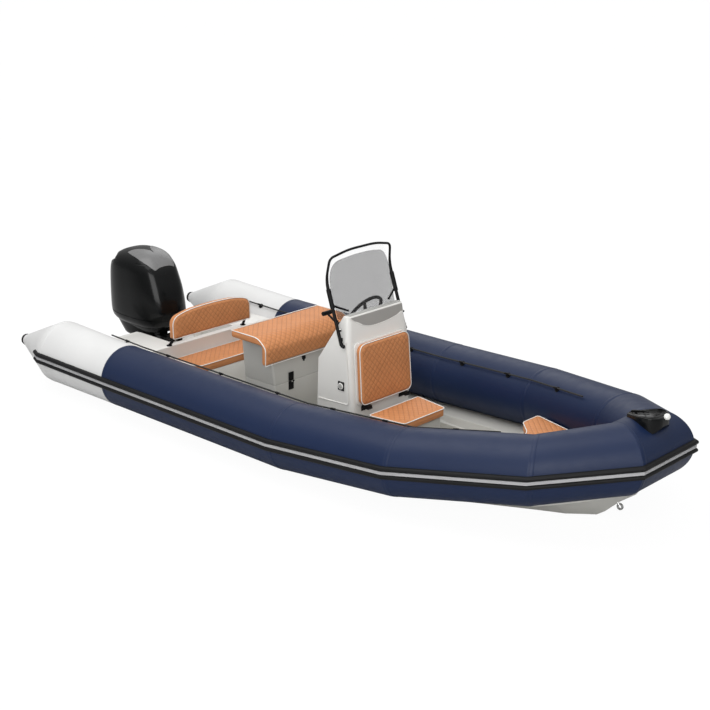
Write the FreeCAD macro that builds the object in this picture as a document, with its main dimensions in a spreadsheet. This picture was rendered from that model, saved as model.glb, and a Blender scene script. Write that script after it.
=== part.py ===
import FreeCAD, Part
import math
import os
import Sketcher
from FreeCAD import Placement, Rotation
from FreeCAD import Vector as V

# An inflatable RIB boat: a moulded vee hull inside a U-shaped inflatable collar, with a stern bench,
# a leaning post, a console and a tilting outboard motor.
# +X points forward, +Y to port and +Z up. The origin is on the waterline, on the centreline,
# at the aft face of the transom. All sizes are in millimetres.

DOC = FreeCAD.newDocument("rib_boat")
SHEET = DOC.addObject("Spreadsheet::Sheet", "Sizes")
NODES = []

SIZES = [
    ("gap", 0.3, "clearance between pieces that lie against each other"),
    ("play", 6, "clearance around pieces that move"),
    # inflatable collar
    ("tube_rad", 250, "radius of the aft tube"),
    ("tube_half", 943, "distance of the aft tube axis from the centreline"),
    ("tube_axis_z", 290, "height of the aft tube axis"),
    ("colour_x", 600, "boundary between white and navy tube"),
    ("cone_x", -240, "start of the stern cone"),
    ("cone_rad", 263, "radius of the tube at the cone's start"),
    ("cone_rise", 13, "rise of the axis at the cone's start"),
    ("tip_x", -785, "end of the stern cone"),
    ("tip_rad", 45, "radius of the stern cone's tip"),
    ("cap_len", 22, "length of the cone cap"),
    ("bend1_x", 2500, "first bend of the tube"),
    ("bend2_x", 3480, "second bend"),
    ("bend2_half", 866, "half width of the axis at the second bend"),
    ("bend2_rise", 58, "rise of the axis at the second bend"),
    ("bend2_rad", 241.5, "tube radius at the second bend"),
    ("bend3_x", 4363, "third bend"),
    ("bend3_half", 565, "half width of the axis at the third bend"),
    ("bend3_rise", 163, "rise of the axis at the third bend"),
    ("bend3_rad", 236, "tube radius at the third bend"),
    ("bow_x", 4810, "axis of the tube across the bow"),
    ("bow_half", 204, "half length of the tube across the bow"),
    ("bow_rise", 264, "rise of the axis at the bow"),
    ("bow_rad", 236, "tube radius at the bow"),
    # rub strake
    ("strake_start", -330, "aft end of the strake on the cone"),
    ("strake_top", 52, "top of the strake above the tube axis"),
    ("strake_low", -38, "bottom of the strake below the tube axis"),
    ("bead_out", 24, "how far the beads stand out"),
    ("bead_top", 28, "height of the upper bead"),
    ("bead_low", 24, "height of the lower bead"),
    ("strake_back", 5, "thickness of the strake behind the insert"),
    ("insert_out", 13, "how far the insert stands out"),
    # hull and deck
    ("keel_z", -305, "depth of the keel at the stern"),
    ("chine_in", 223, "chine inboard of the tube axis"),
    ("chine_drop", 310, "chine below the tube axis"),
    ("flange_in", 63, "edge of the hull's flange inboard of the tube axis"),
    ("sole_in", 343, "edge of the sole inboard of the tube axis"),
    ("sole_z", 30, "height of the cockpit sole"),
    ("sole_thick", 10, "thickness of the sole"),
    ("ledge_step", 37, "height of the side ledge above the sole"),
    ("transom_thick", 50, "thickness of the transom"),
    ("notch_z", 230, "top of the transom where the motor hangs"),
    ("notch_half", 260, "half width of the motor's notch"),
    ("shoulder_z", 400, "top of the transom beside the notch"),
    ("shoulder_half", 340, "half width at the foot of the shoulders"),
    # stern moulding and bench
    ("well_front", 480, "front of the splash well"),
    ("well_z", 195, "floor of the splash well"),
    ("well_half", 345, "half width of the splash well"),
    ("coaming_x", 545, "front face of the bench's back wall"),
    ("coaming_z", 405, "top of the stern moulding"),
    ("bench_front", 850, "front of the bench"),
    ("bench_half", 440, "half width of the bench"),
    ("bench_top", 222, "top of the bench below its cushion"),
    ("cushion_thick", 75, "thickness of the seat cushions"),
    ("bench_pad_half", 400, "half width of the bench cushion"),
    ("back_x", 545, "aft face of the backrest"),
    ("back_low", 475, "bottom of the backrest"),
    ("back_end", 650, "top of the backrest at its ends"),
    ("back_mid", 715, "top of the backrest in the middle"),
    ("back_half", 440, "half width of the backrest"),
    ("back_thick", 62, "thickness of the backrest"),
    ("bracket_half", 400, "distance of the backrest brackets from the centreline"),
    ("bracket_width", 40, "width of a backrest bracket"),
    # leaning post
    ("post_half", 370, "half width of the leaning post"),
    ("post_rear", 1370, "rear face of the leaning post"),
    ("post_front", 1745, "front face of the leaning post"),
    ("post_lean", 45, "how far the front face leans back at the top"),
    ("post_wall", 15, "wall of the lower post"),
    ("seam_z", 335, "seam between the lower post and the tipping box"),
    ("post_top", 684, "top of the tipping box"),
    ("post_pad_top", 746, "top of the leaning post cushion"),
    ("post_pad_half", 490, "half width of the cushion"),
    ("post_pad_rear", 1375, "rear edge of the cushion"),
    ("post_pad_front", 1772, "front of the cushion's flap"),
    ("post_flap_z", 530, "bottom of the cushion's flap"),
    ("post_flap_thick", 50, "thickness of the flap"),
    ("post_hinge_half", 190, "distance of the post's hinges from the centreline"),
    ("hinge_width", 46, "width of a hinge"),
    ("hinge_leaf", 70, "height of a hinge's leaf"),
    ("hinge_thick", 4, "thickness of a hinge's leaf"),
    ("knuckle_rad", 7, "radius of a hinge's knuckle"),
    # console
    ("console_half", 340, "half width of the console"),
    ("console_aft", 2170, "aft foot of the console"),
    ("console_deep", 378, "depth of the console at its foot"),
    ("console_wall", 12, "wall of the console"),
    ("console_round", 45, "radius of the console's front corners"),
    ("dash_in", 22, "bottom of the dash ahead of the aft foot"),
    ("dash_low_z", 670, "height of the dash's bottom"),
    ("dash_deep", 233, "run of the dash from its bottom to its top"),
    ("console_top", 1040, "top of the console"),
    ("top_deep", 85, "depth of the console's top"),
    ("front_lean", 38, "how far the console's front leans back above the hatch's foot"),
    ("cap_thick", 12, "thickness of the console's top moulding"),
    ("cap_in", 30, "distance of the top moulding from the console's sides"),
    ("hatch_half", 225, "half width of the hatch opening"),
    ("hatch_low", 385, "bottom of the hatch opening"),
    ("hatch_high", 800, "top of the hatch opening"),
    ("pad_low", 352, "bottom of the hatch and its cushion"),
    ("pad_high", 838, "top of the hatch and its cushion"),
    ("pad_half", 290, "half width of the hatch and its cushion"),
    ("hatch_thick", 12, "thickness of the hatch panel"),
    ("pad_thick", 46, "thickness of the hatch cushion"),
    ("hatch_hinge_half", 215, "distance of the hatch hinges from the centreline"),
    ("hatch_hinge_out", 12, "hatch hinges' axis ahead of the cushion"),
    ("hatch_hinge_drop", 17, "hatch hinges' axis below the hatch"),
    # windscreen
    ("hoop_rad", 14, "radius of the hoop's tube"),
    ("hoop_half", 357, "half width of the hoop"),
    ("hoop_foot_in", 28, "foot of the hoop ahead of the dash's top"),
    ("hoop_foot_z", 829, "height of the hoop's foot"),
    ("hoop_bend_back", 135, "bend of the hoop behind the dash's top"),
    ("hoop_bend_z", 1301, "height of the bend"),
    ("hoop_top_back", 115, "top of the hoop behind the dash's top"),
    ("hoop_top_z", 1465, "height of the hoop's corners"),
    ("hoop_arch", 40, "rise of the hoop between its corners"),
    ("stay_low_z", 870, "height of the hoop's lower stays"),
    ("stay_high_z", 1000, "height of the hoop's upper stays"),
    ("stay_size", 24, "width of the hoop's stays"),
    ("glass_thick", 5, "thickness of the windscreen"),
    ("glass_half", 318, "half width of the windscreen"),
    ("glass_top_half", 285, "half width of the windscreen's top"),
    ("glass_top_z", 1440, "top of the windscreen"),
    ("glass_lean", 14.6, "lean of the windscreen, in degrees"),
    ("glass_in", 17, "foot of the windscreen ahead of the dash's top"),
    # helm
    ("wheel_rad", 165, "radius of the steering wheel's rim"),
    ("rim_rad", 13, "radius of the rim's section"),
    ("wheel_side", 100, "distance of the wheel from the centreline"),
    ("wheel_up", 271, "place of the steering column, up the dash"),
    ("hub_rad", 34, "radius of the wheel's hub"),
    ("hub_len", 40, "length of the wheel's hub"),
    ("column_len", 66, "length of the steering column outside the dash"),
    ("column_rad", 24, "radius of the steering column"),
    ("lever_side", 270, "distance of the throttle from the centreline"),
    ("lever_up", 312, "place of the throttle's base, up the dash"),
    ("grip_back", 207, "grip of the throttle lever behind the dash's top"),
    ("grip_z", 1015, "height of the grip"),
    ("vent_back", 110, "centre of the vent behind the console's front foot"),
    ("vent_z", 503, "height of the vent"),
    ("vent_wide", 62, "width of the vent's bezel"),
    ("vent_tall", 70, "height of the vent's bezel"),
    ("vent_rad", 26, "radius of the vent's ring"),
    # front seat
    ("seat_gap", 117, "rear edge of the front seat ahead of the console"),
    ("seat_deep", 320, "depth of the front seat"),
    ("seat_rear_half", 290, "half width of the seat's rear edge"),
    ("seat_front_half", 240, "half width of the seat's front edge"),
    ("seat_top", 245, "top of the seat's base"),
    # bow
    ("locker_x", 3640, "aft face of the bow locker"),
    ("locker_front", 4560, "front of the bow locker"),
    ("locker_z", 272, "top of the bow locker"),
    ("bow_pad_gap", 14, "gap between the bow cushion and the tube"),
    ("bow_pad_front", 4330, "front of the bow cushion"),
    ("bow_pad_scoop", 200, "depth of the scoop in the bow cushion's aft edge"),
    ("saddle_back", 98, "aft end of the bow fitting behind the bow tube's axis"),
    ("saddle_ahead", 208, "front end of the bow fitting ahead of the bow tube's axis"),
    ("saddle_half", 118, "half width of the bow fitting"),
    ("saddle_tall", 50, "top of the bow fitting above the bow tube"),
    ("saddle_slope", 42, "fall of the fitting's top to its aft end"),
    ("lamp_rad", 22, "radius of the bow lamp"),
    ("eye_x", 4705, "centre of the bow eye"),
    ("eye_z", 116, "height of the bow eye"),
    ("eye_hole", 13, "radius of the towing eyes' holes"),
    ("eye_rad", 24, "outer radius of the towing eyes"),
    ("eye_thick", 12, "thickness of the towing eyes"),
    ("shank_rad", 8, "radius of a towing eye's shank"),
    ("stern_eye_out", 45, "distance of a stern eye's centre from the transom"),
    ("stern_eye_half", 520, "distance of the stern eyes from the centreline"),
    ("stern_eye_z", 120, "height of the stern eyes"),
    # grab lines
    ("line_rad", 6, "radius of the grab lines"),
    ("line_off", 24, "distance of the grab lines from the tube"),
    ("line_angle", 46, "place of the grab lines on the tube, in degrees above the horizontal"),
    ("line_start", 180, "aft end of the grab lines"),
    ("line_end", 4100, "front end of the grab lines"),
    ("clip_len", 40, "length of a line clip"),
    ("fitting_x", 960, "place of the small fittings under the tubes"),
    ("fitting_len", 50, "length of a fitting under the tube"),
    ("fitting_wide", 28, "width of a fitting under the tube"),
    ("fitting_tall", 12, "height of a fitting under the tube"),
    # outboard motor
    ("tilt_x", 25, "tilt axis ahead of the transom's aft face"),
    ("tilt_z", 285, "height of the tilt axis"),
    ("tilt_tube_rad", 15, "radius of the tilt tube"),
    ("arm_in", 62, "inner face of a clamp arm"),
    ("arm_thick", 34, "thickness of a clamp arm"),
    ("swivel_half", 54, "half width of the swivel bracket"),
    ("steer_x", -105, "steering axis"),
    ("swivel_rad", 40, "radius of the swivel tube"),
    ("swivel_low", -70, "bottom of the swivel tube"),
    ("swivel_high", 268, "top of the swivel tube"),
    ("pin_rad", 24, "radius of the steering pin"),
    ("cowl_aft", -643, "aft end of the cowl"),
    ("cowl_nose", 123, "front end of the cowl"),
    ("cowl_half", 241, "half width of the cowl"),
    ("cowl_low", 375, "bottom of the cowl"),
    ("cowl_top", 1034, "top of the cowl"),
    ("plate_z", -300, "height of the cavitation plate"),
    ("prop_z", -505, "height of the propeller shaft"),
    ("prop_x", -520, "middle of the propeller"),
    ("prop_rad", 165, "radius of the propeller"),
    ("prop_hub", 48, "radius of the propeller's hub"),
    ("prop_hub_len", 110, "length of the propeller's hub"),
    ("skeg_z", -720, "bottom of the skeg"),
]


class Size:
    """A size of the boat: its number, and the expression that ties it to the sheet."""

    def __init__(self, text, number):
        self.text = text
        self.number = number

    def __add__(self, other):
        other = as_size(other)
        return Size(f"({self.text} + {other.text})", self.number + other.number)

    def __sub__(self, other):
        other = as_size(other)
        return Size(f"({self.text} - {other.text})", self.number - other.number)

    def __mul__(self, factor):
        return Size(f"({self.text} * {factor})", self.number * factor)

    def __truediv__(self, factor):
        return Size(f"({self.text} / {factor})", self.number / factor)

    def __neg__(self):
        return Size(f"(-1 * {self.text})", -self.number)


def as_size(value):
    return value if isinstance(value, Size) else Size(f"({value})", float(value))


def fill_sheet():
    for row, (alias, number, meaning) in enumerate(SIZES, start=1):
        SHEET.set(f"A{row}", meaning)
        SHEET.set(f"B{row}", str(number))
        SHEET.setAlias(f"B{row}", alias)
    DOC.recompute()


def size(alias):
    return Size(f"Sizes.{alias}", float(SHEET.get(alias)))


def num(alias):
    return float(SHEET.get(alias))


def bind(item, **sizes):
    """Ties each named property of an object to its size."""
    for name, value in sizes.items():
        item.setExpression(name, as_size(value).text)
    return item


def place(item, x=0, y=0, z=0, axis=V(0, 0, 1), angle=0):
    spot = [as_size(value) for value in (x, y, z)]
    item.Placement = Placement(V(*(value.number for value in spot)), Rotation(axis, angle))
    for letter, value in zip("xyz", spot):
        item.setExpression(f".Placement.Base.{letter}", value.text)
    return item


def node(item, label):
    """Marks an object as a finished piece of the boat."""
    item.Label = label
    NODES.append(item)
    return item


def box(name, x0, x1, y0, y1, z0, z1):
    item = DOC.addObject("Part::Box", name)
    x0, x1, y0, y1, z0, z1 = (as_size(value) for value in (x0, x1, y0, y1, z0, z1))
    bind(item, Length=x1 - x0, Width=y1 - y0, Height=z1 - z0)
    return place(item, x0, y0, z0)


def cylinder(name, radius, length, x=0, y=0, z=0, axis=V(0, 0, 1), angle=0):
    item = DOC.addObject("Part::Cylinder", name)
    bind(item, Radius=radius, Height=length)
    return place(item, x, y, z, axis, angle)


def fuse(name, *items):
    item = DOC.addObject("Part::MultiFuse", name)
    item.Shapes = list(items)
    return item


def cut(name, base, tool):
    item = DOC.addObject("Part::Cut", name)
    item.Base = base
    item.Tool = tool
    return item


def compound(name, *items):
    item = DOC.addObject("Part::Compound", name)
    item.Links = list(items)
    return item


def feature(name, shape):
    item = DOC.addObject("Part::Feature", name)
    item.Shape = shape
    return item


def origin_plane(body, role):
    return next(item for item in body.Origin.OriginFeatures if item.Role == role)


def draw(sketch, outline):
    """Draws a closed outline of straight lines, each corner tied to its two sizes."""
    corners = [(as_size(u), as_size(v)) for u, v in outline]
    points = [V(u.number, v.number, 0) for u, v in corners]
    count = len(points)
    for i, point in enumerate(points):
        sketch.addGeometry(Part.LineSegment(point, points[(i + 1) % count]), False)
    for i in range(count):
        sketch.addConstraint(Sketcher.Constraint("Coincident", i, 2, (i + 1) % count, 1))
    for i, (u, v) in enumerate(corners):
        for kind, value in (("DistanceX", u), ("DistanceY", v)):
            index = sketch.addConstraint(Sketcher.Constraint(kind, -1, 1, i, 1, value.number))
            sketch.setExpression(f"Constraints[{index}]", value.text)


def padded(name, role, outline, depth, shift=0):
    """A body padded from an outline on an origin plane, half its depth to each side of that plane."""
    body = DOC.addObject("PartDesign::Body", name)
    sketch = body.newObject("Sketcher::SketchObject", name + "_outline")
    sketch.AttachmentSupport = [(origin_plane(body, role), "")]
    sketch.MapMode = "FlatFace"
    shift = as_size(shift)
    sketch.AttachmentOffset = Placement(V(0, 0, shift.number), Rotation())
    sketch.setExpression(".AttachmentOffset.Base.z", shift.text)
    draw(sketch, outline)
    pad = body.newObject("PartDesign::Pad", name + "_pad")
    pad.Profile = sketch
    pad.Midplane = True
    bind(pad, Length=depth)
    DOC.recompute()
    return body


def pocketed(body, name, role, outline, depth, shift=0):
    """Cuts an outline through a body, half the depth to each side of its plane."""
    sketch = body.newObject("Sketcher::SketchObject", name + "_outline")
    sketch.AttachmentSupport = [(origin_plane(body, role), "")]
    sketch.MapMode = "FlatFace"
    shift = as_size(shift)
    sketch.AttachmentOffset = Placement(V(0, 0, shift.number), Rotation())
    sketch.setExpression(".AttachmentOffset.Base.z", shift.text)
    draw(sketch, outline)
    pocket = body.newObject("PartDesign::Pocket", name)
    pocket.Profile = sketch
    pocket.Midplane = True
    bind(pocket, Length=depth)
    DOC.recompute()
    return body


def rounded(body, name, radius, choose):
    """Fillets the straight edges of a body's last feature that the test picks."""
    tip = body.Tip
    picked = [f"Edge{i}" for i, edge in enumerate(tip.Shape.Edges, start=1) if choose(edge)]
    fillet = body.newObject("PartDesign::Fillet", name)
    fillet.Base = (tip, picked)
    bind(fillet, Radius=radius)
    DOC.recompute()
    return body


def along(edge, direction):
    return abs(abs(edge.tangentAt(edge.FirstParameter).dot(direction)) - 1) < 1e-6


def middle(edge):
    return edge.valueAt((edge.FirstParameter + edge.LastParameter) / 2)


# The collar's path

def tube_path():
    """Corners of the starboard half of the collar's axis, from the colour boundary to the bow."""
    half = num("tube_half")
    height = num("tube_axis_z")
    rad = num("tube_rad")
    return [
        (V(num("colour_x"), -half, height), rad),
        (V(num("bend1_x"), -half, height), rad),
        (V(num("bend2_x"), -num("bend2_half"), height + num("bend2_rise")), num("bend2_rad")),
        (V(num("bend3_x"), -num("bend3_half"), height + num("bend3_rise")), num("bend3_rad")),
        (V(num("bow_x"), -num("bow_half"), height + num("bow_rise")), num("bow_rad")),
    ]


def mirror(point):
    return V(point.x, -point.y, point.z)


def whole(path):
    """Adds the port half to a path, in order round the bow."""
    return path + [(mirror(point), rad) for point, rad in reversed(path)]


def mitres(path):
    """Unit vectors across a path at each corner, pointing outboard, with the mitre's stretch."""
    flat = [V(point.x, point.y, 0) for point, _ in path]
    runs = [(b - a).normalize() for a, b in zip(flat, flat[1:])]
    result = []
    for i in range(len(flat)):
        before = runs[max(i - 1, 0)]
        after = runs[min(i, len(runs) - 1)]
        heading = (before + after).normalize()
        stretch = 1 / heading.dot(after)
        result.append((V(heading.y, -heading.x, 0), stretch))
    return result


def ring(centre, across, wide, high):
    ellipse = Part.Ellipse(centre + across * wide, centre + V(0, 0, high), centre)
    return Part.Wire([ellipse.toShape()])


def tube_solid(path, extra=0.0):
    """A tube of straight mitred lengths round a path."""
    rings = []
    for (point, rad), (across, stretch) in zip(path, mitres(path)):
        rings.append(ring(point, across, (rad + extra) * stretch * 1.00001, rad + extra))
    return Part.makeLoft(rings, True, True)


def band_solid(path, section):
    """A bar of the given section round a path: each corner is (distance from the axis, height)."""
    wires = []
    for (point, rad), (across, stretch) in zip(path, mitres(path)):
        corners = [point + across * ((rad + out) * stretch) + V(0, 0, up) for out, up in section]
        wires.append(Part.makePolygon(corners + corners[:1]))
    return Part.makeLoft(wires, True, True)


def side(points, hand):
    """Mirrors points to port when the hand is +1."""
    return [V(point.x, -hand * point.y, point.z) for point in points]


def stern_path():
    """Corners of the starboard aft tube's axis, from the cone's tip to the colour boundary."""
    half = num("tube_half")
    height = num("tube_axis_z")
    return [
        (V(num("tip_x"), -half, height), num("tip_rad")),
        (V(num("cone_x"), -half, height + num("cone_rise")), num("cone_rad")),
        (V(num("colour_x"), -half, height), num("tube_rad")),
    ]


def on_path(path, x):
    """The point of a path at a place along the boat, with the tube's radius there."""
    for (a, rad_a), (b, rad_b) in zip(path, path[1:]):
        if x <= b.x:
            share = (x - a.x) / (b.x - a.x)
            return a + (b - a) * share, rad_a + (rad_b - rad_a) * share
    return path[-1]


def collar():
    node(feature("tube_main", tube_solid(whole(tube_path()))), "tube_main")
    for name, hand in (("port", 1), ("starboard", -1)):
        rings = []
        for point, rad in reversed(stern_path()):
            spot = V(point.x, -hand * point.y, point.z)
            rings.append(ring(spot, V(0, 1, 0), rad * 1.00001, rad))
        node(feature(f"tube_aft_{name}", Part.makeLoft(rings, True, True)), f"tube_aft_{name}")
    caps = []
    for name, hand in (("port", 1), ("starboard", -1)):
        caps.append(cylinder(
            f"cone_cap_{name}", size("tip_rad") + 3, size("cap_len"),
            size("tip_x") - size("cap_len"), size("tube_half") * hand, size("tube_axis_z"),
            V(0, 1, 0), 90))
    node(compound("cone_caps", *caps), "cone_caps")


def collar_room():
    """The collar with its clearance all round, for cutting what lies against it."""
    path = stern_path()[1:] + tube_path()[1:]
    return feature("collar_room", tube_solid(whole(path), num("gap")))


def strake():
    stern = stern_path()
    route = whole([on_path(stern, num("strake_start")), stern[1]] + tube_path())
    gap = num("gap")
    back = num("strake_back")
    out = num("bead_out")
    top = num("strake_top")
    low = num("strake_low")
    upper = top - num("bead_top")
    lower = low + num("bead_low")
    rubber = [
        (gap, low), (out, low), (out, lower), (back, lower),
        (back, upper), (out, upper), (out, top), (gap, top),
    ]
    insert = [(back, lower), (num("insert_out"), lower), (num("insert_out"), upper), (back, upper)]
    node(feature("rub_strake", band_solid(route, rubber)), "rub_strake")
    node(feature("strake_insert", band_solid(route, insert)), "strake_insert")


# Hull and deck

def hull_stations():
    """Hull sections from the stern to the stem: place, keel, chine, flange, tube axis, deck's seat."""
    half = num("tube_half")
    axis = num("tube_axis_z")
    keel = num("keel_z")
    seat = num("sole_z") - num("sole_thick")
    edge = num("flange_in")
    aft = (keel, half - num("chine_in"), axis - num("chine_drop"), half - edge, axis,
           half - num("sole_in"), seat)
    bend2_axis = axis + num("bend2_rise")
    bend3_axis = axis + num("bend3_rise")
    bow_axis = axis + num("bow_rise")
    mid_axis = (bend2_axis + bend3_axis) / 2
    return [
        (0, *aft),
        (num("bend1_x"), *aft),
        (num("bend2_x"), keel, 610, 10, num("bend2_half") - edge, bend2_axis, 480, seat),
        (num("locker_x"), -300, 570, 25, num("bend2_half") - 118, bend2_axis + 19, 440, seat),
        (3950, -262, 455, 80, 643, mid_axis, 400, 115),
        (num("bend3_x"), -115, 310, 150, num("bend3_half") - edge, bend3_axis, 270, 186),
        (4590, 45, 190, 225, 348, bend3_axis + 49, 160, 240),
        (4700, 150, 127, 243, num("bow_half") + 46, bow_axis - 27, 105, 265),
        (num("bow_x") + 10, 240, 62, 262, num("bow_half") - 60, bow_axis, 50, 292),
    ]


def hull_section(x, keel, chine_y, chine_z, flange, axis, inner, seat):
    """One hull section: keel, chine, flange under the tube, and the deck's seat inside it."""
    half = [
        (chine_y, chine_z),
        (flange, axis - 280),
        (flange, axis - 232),
        (flange - 60, axis - 270),
        (inner, seat),
    ]
    starboard = [V(x, -y, z) for y, z in half]
    port = [V(x, y, z) for y, z in reversed(half)]
    corners = [V(x, 0, keel)] + starboard + port
    return Part.makePolygon(corners + corners[:1])


def hull(room):
    wires = [hull_section(*station) for station in hull_stations()]
    blank = feature("hull_blank", Part.makeLoft(wires, True, True))
    return node(cut("hull", blank, room), "hull")


def hull_at(x):
    """The hull's section sizes at any place between two stations."""
    rows = hull_stations()
    for low, high in zip(rows, rows[1:]):
        if x <= high[0]:
            share = (x - low[0]) / (high[0] - low[0])
            return [a + (b - a) * share for a, b in zip(low[1:], high[1:])]
    return list(rows[-1][1:])


def lined(name, places, profile):
    """A solid on the hull's seat: its upper corners come from a profile of half width and height."""
    wires = []
    for x in places:
        keel, chine_y, chine_z, flange, axis, inner, seat = hull_at(x)
        half = [(inner, seat - 5), (flange - 60, axis - 273), (flange - 17, axis - 262)]
        half += profile(flange, axis)
        starboard = [V(x, -y, z) for y, z in half]
        port = [V(x, y, z) for y, z in reversed(half)]
        wires.append(Part.makePolygon(starboard + port + starboard[:1]))
    return feature(name, Part.makeLoft(wires, True, True))


def deck(room, shell):
    """The cockpit's liner: a sole with a ledge along each tube."""
    rim = num("tube_axis_z") - num("sole_z") - num("ledge_step")
    offset = num("sole_in") - num("flange_in")
    sole = num("sole_z")

    def profile(flange, axis):
        return [
            (flange - 17, axis - rim), (flange - offset + 20, axis - rim), (flange - offset, sole),
        ]

    places = (num("transom_thick"), num("bend1_x"), num("bend2_x"), num("locker_x"))
    blank = lined("deck_blank", places, profile)
    return node(cut("deck", cut("deck_inside", blank, room), shell), "deck")


def transom(room, shell):
    top = size("shoulder_z")
    notch = size("notch_half")
    foot = size("shoulder_half")
    wide = size("tube_half") - 170
    low = size("sole_z") - 30
    outline = [
        (-wide, low), (wide, low), (wide, top), (foot, top), (notch, size("notch_z")),
        (-notch, size("notch_z")), (-foot, top), (-wide, top),
    ]
    board = padded("transom_board", "YZ_Plane", outline, size("transom_thick"),
                   size("transom_thick") / 2)
    rounded(board, "transom_round", 18,
            lambda edge: along(edge, V(1, 0, 0)) and middle(edge).z > num("notch_z") - 1
            and abs(middle(edge).y) < num("shoulder_half") + 1)
    return node(cut("transom", cut("transom_inside", board, room), shell), "transom")


def stern_moulding(room):
    """The moulding across the stern: splash well, bench back and seat base."""
    sole = size("sole_z")
    wide = size("tube_half") - 60
    start = size("transom_thick")
    well = size("well_z")
    outline = [
        (start, sole), (size("bench_front"), sole), (size("bench_front"), size("bench_top")),
        (size("coaming_x"), size("bench_top")), (size("coaming_x"), size("coaming_z")),
        (start, size("coaming_z")),
    ]
    body = padded("stern_block", "XZ_Plane", outline, wide * 2)
    rim = size("well_half")
    pocketed(body, "splash_well", "XZ_Plane", [
        (start - 1, well), (size("well_front"), well), (size("well_front"), size("coaming_z") + 1),
        (start - 1, size("coaming_z") + 1)], rim * 2)
    pocketed(body, "bench_ends", "YZ_Plane", [
        (size("bench_half"), sole - 1), (wide + 1, sole - 1), (wide + 1, size("coaming_z") + 1),
        (size("bench_half"), size("coaming_z") + 1)],
        (size("bench_front") - size("coaming_x") + 1) * 2, size("bench_front") + 1)
    pocketed(body, "bench_ends_other", "YZ_Plane", [
        (-size("bench_half"), sole - 1), (-size("bench_half"), size("coaming_z") + 1),
        (-wide - 1, size("coaming_z") + 1), (-wide - 1, sole - 1)],
        (size("bench_front") - size("coaming_x") + 1) * 2, size("bench_front") + 1)
    rounded(body, "bench_round", 25,
            lambda edge: along(edge, V(0, 0, 1)) and abs(middle(edge).x - num("bench_front")) < 1)
    edge = size("tube_half") - size("sole_in") - 0.1
    ledge = compound("ledge_room", *[
        box(f"ledge_room_{name}", start - 1, size("bench_front"), low, high,
            sole - 1, sole + size("ledge_step"))
        for name, low, high in (("port", edge, wide + 1), ("starboard", -wide - 1, -edge))])
    return node(cut("stern_moulding", cut("stern_inside", body, room), ledge), "stern_moulding")


# Seats

def soft_block(name, role, outline, depth, shift, edge_round):
    """A cushion: a padded outline with all its long edges rounded."""
    body = padded(name, role, outline, depth, shift)
    rounded(body, name + "_round", edge_round, lambda edge: True)
    return node(body, name)


def bench_seat():
    half = size("bench_pad_half")
    rear = size("coaming_x") + 8
    front = size("bench_front") + 8
    soft_block("bench_cushion", "XY_Plane", [(rear, -half), (front, -half), (front, half), (rear, half)],
               size("cushion_thick"), size("bench_top") + size("gap") + size("cushion_thick") / 2, 14)
    end = size("back_half")
    low = size("back_low")
    outline = [
        (-end, low), (end, low), (end, size("back_end") - 20), (end - 60, size("back_end") + 30),
        (end * 0.45, size("back_mid")), (-end * 0.45, size("back_mid")),
        (-end + 60, size("back_end") + 30), (-end, size("back_end") - 20),
    ]
    soft_block("backrest", "YZ_Plane", outline, size("back_thick"),
               size("back_x") + size("back_thick") / 2, 12)
    arms = []
    for name, hand in (("port", 1), ("starboard", -1)):
        inner = size("bracket_half") * hand - size("bracket_width") / 2
        front = size("back_x") - size("gap")
        post = box(f"bracket_post_{name}", front - 8, front, inner, inner + size("bracket_width"),
                   size("coaming_z"), size("back_low") + 60)
        foot = box(f"bracket_foot_{name}", front - 48, front, inner, inner + size("bracket_width"),
                   size("coaming_z"), size("coaming_z") + 8)
        arms.append(fuse(f"bracket_{name}", post, foot))
    node(compound("backrest_brackets", *arms), "backrest_brackets")


def hinge_x():
    """The post hinge's axis lies just outside the front face, at the seam."""
    return size("post_front") + size("knuckle_rad") + 1


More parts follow.
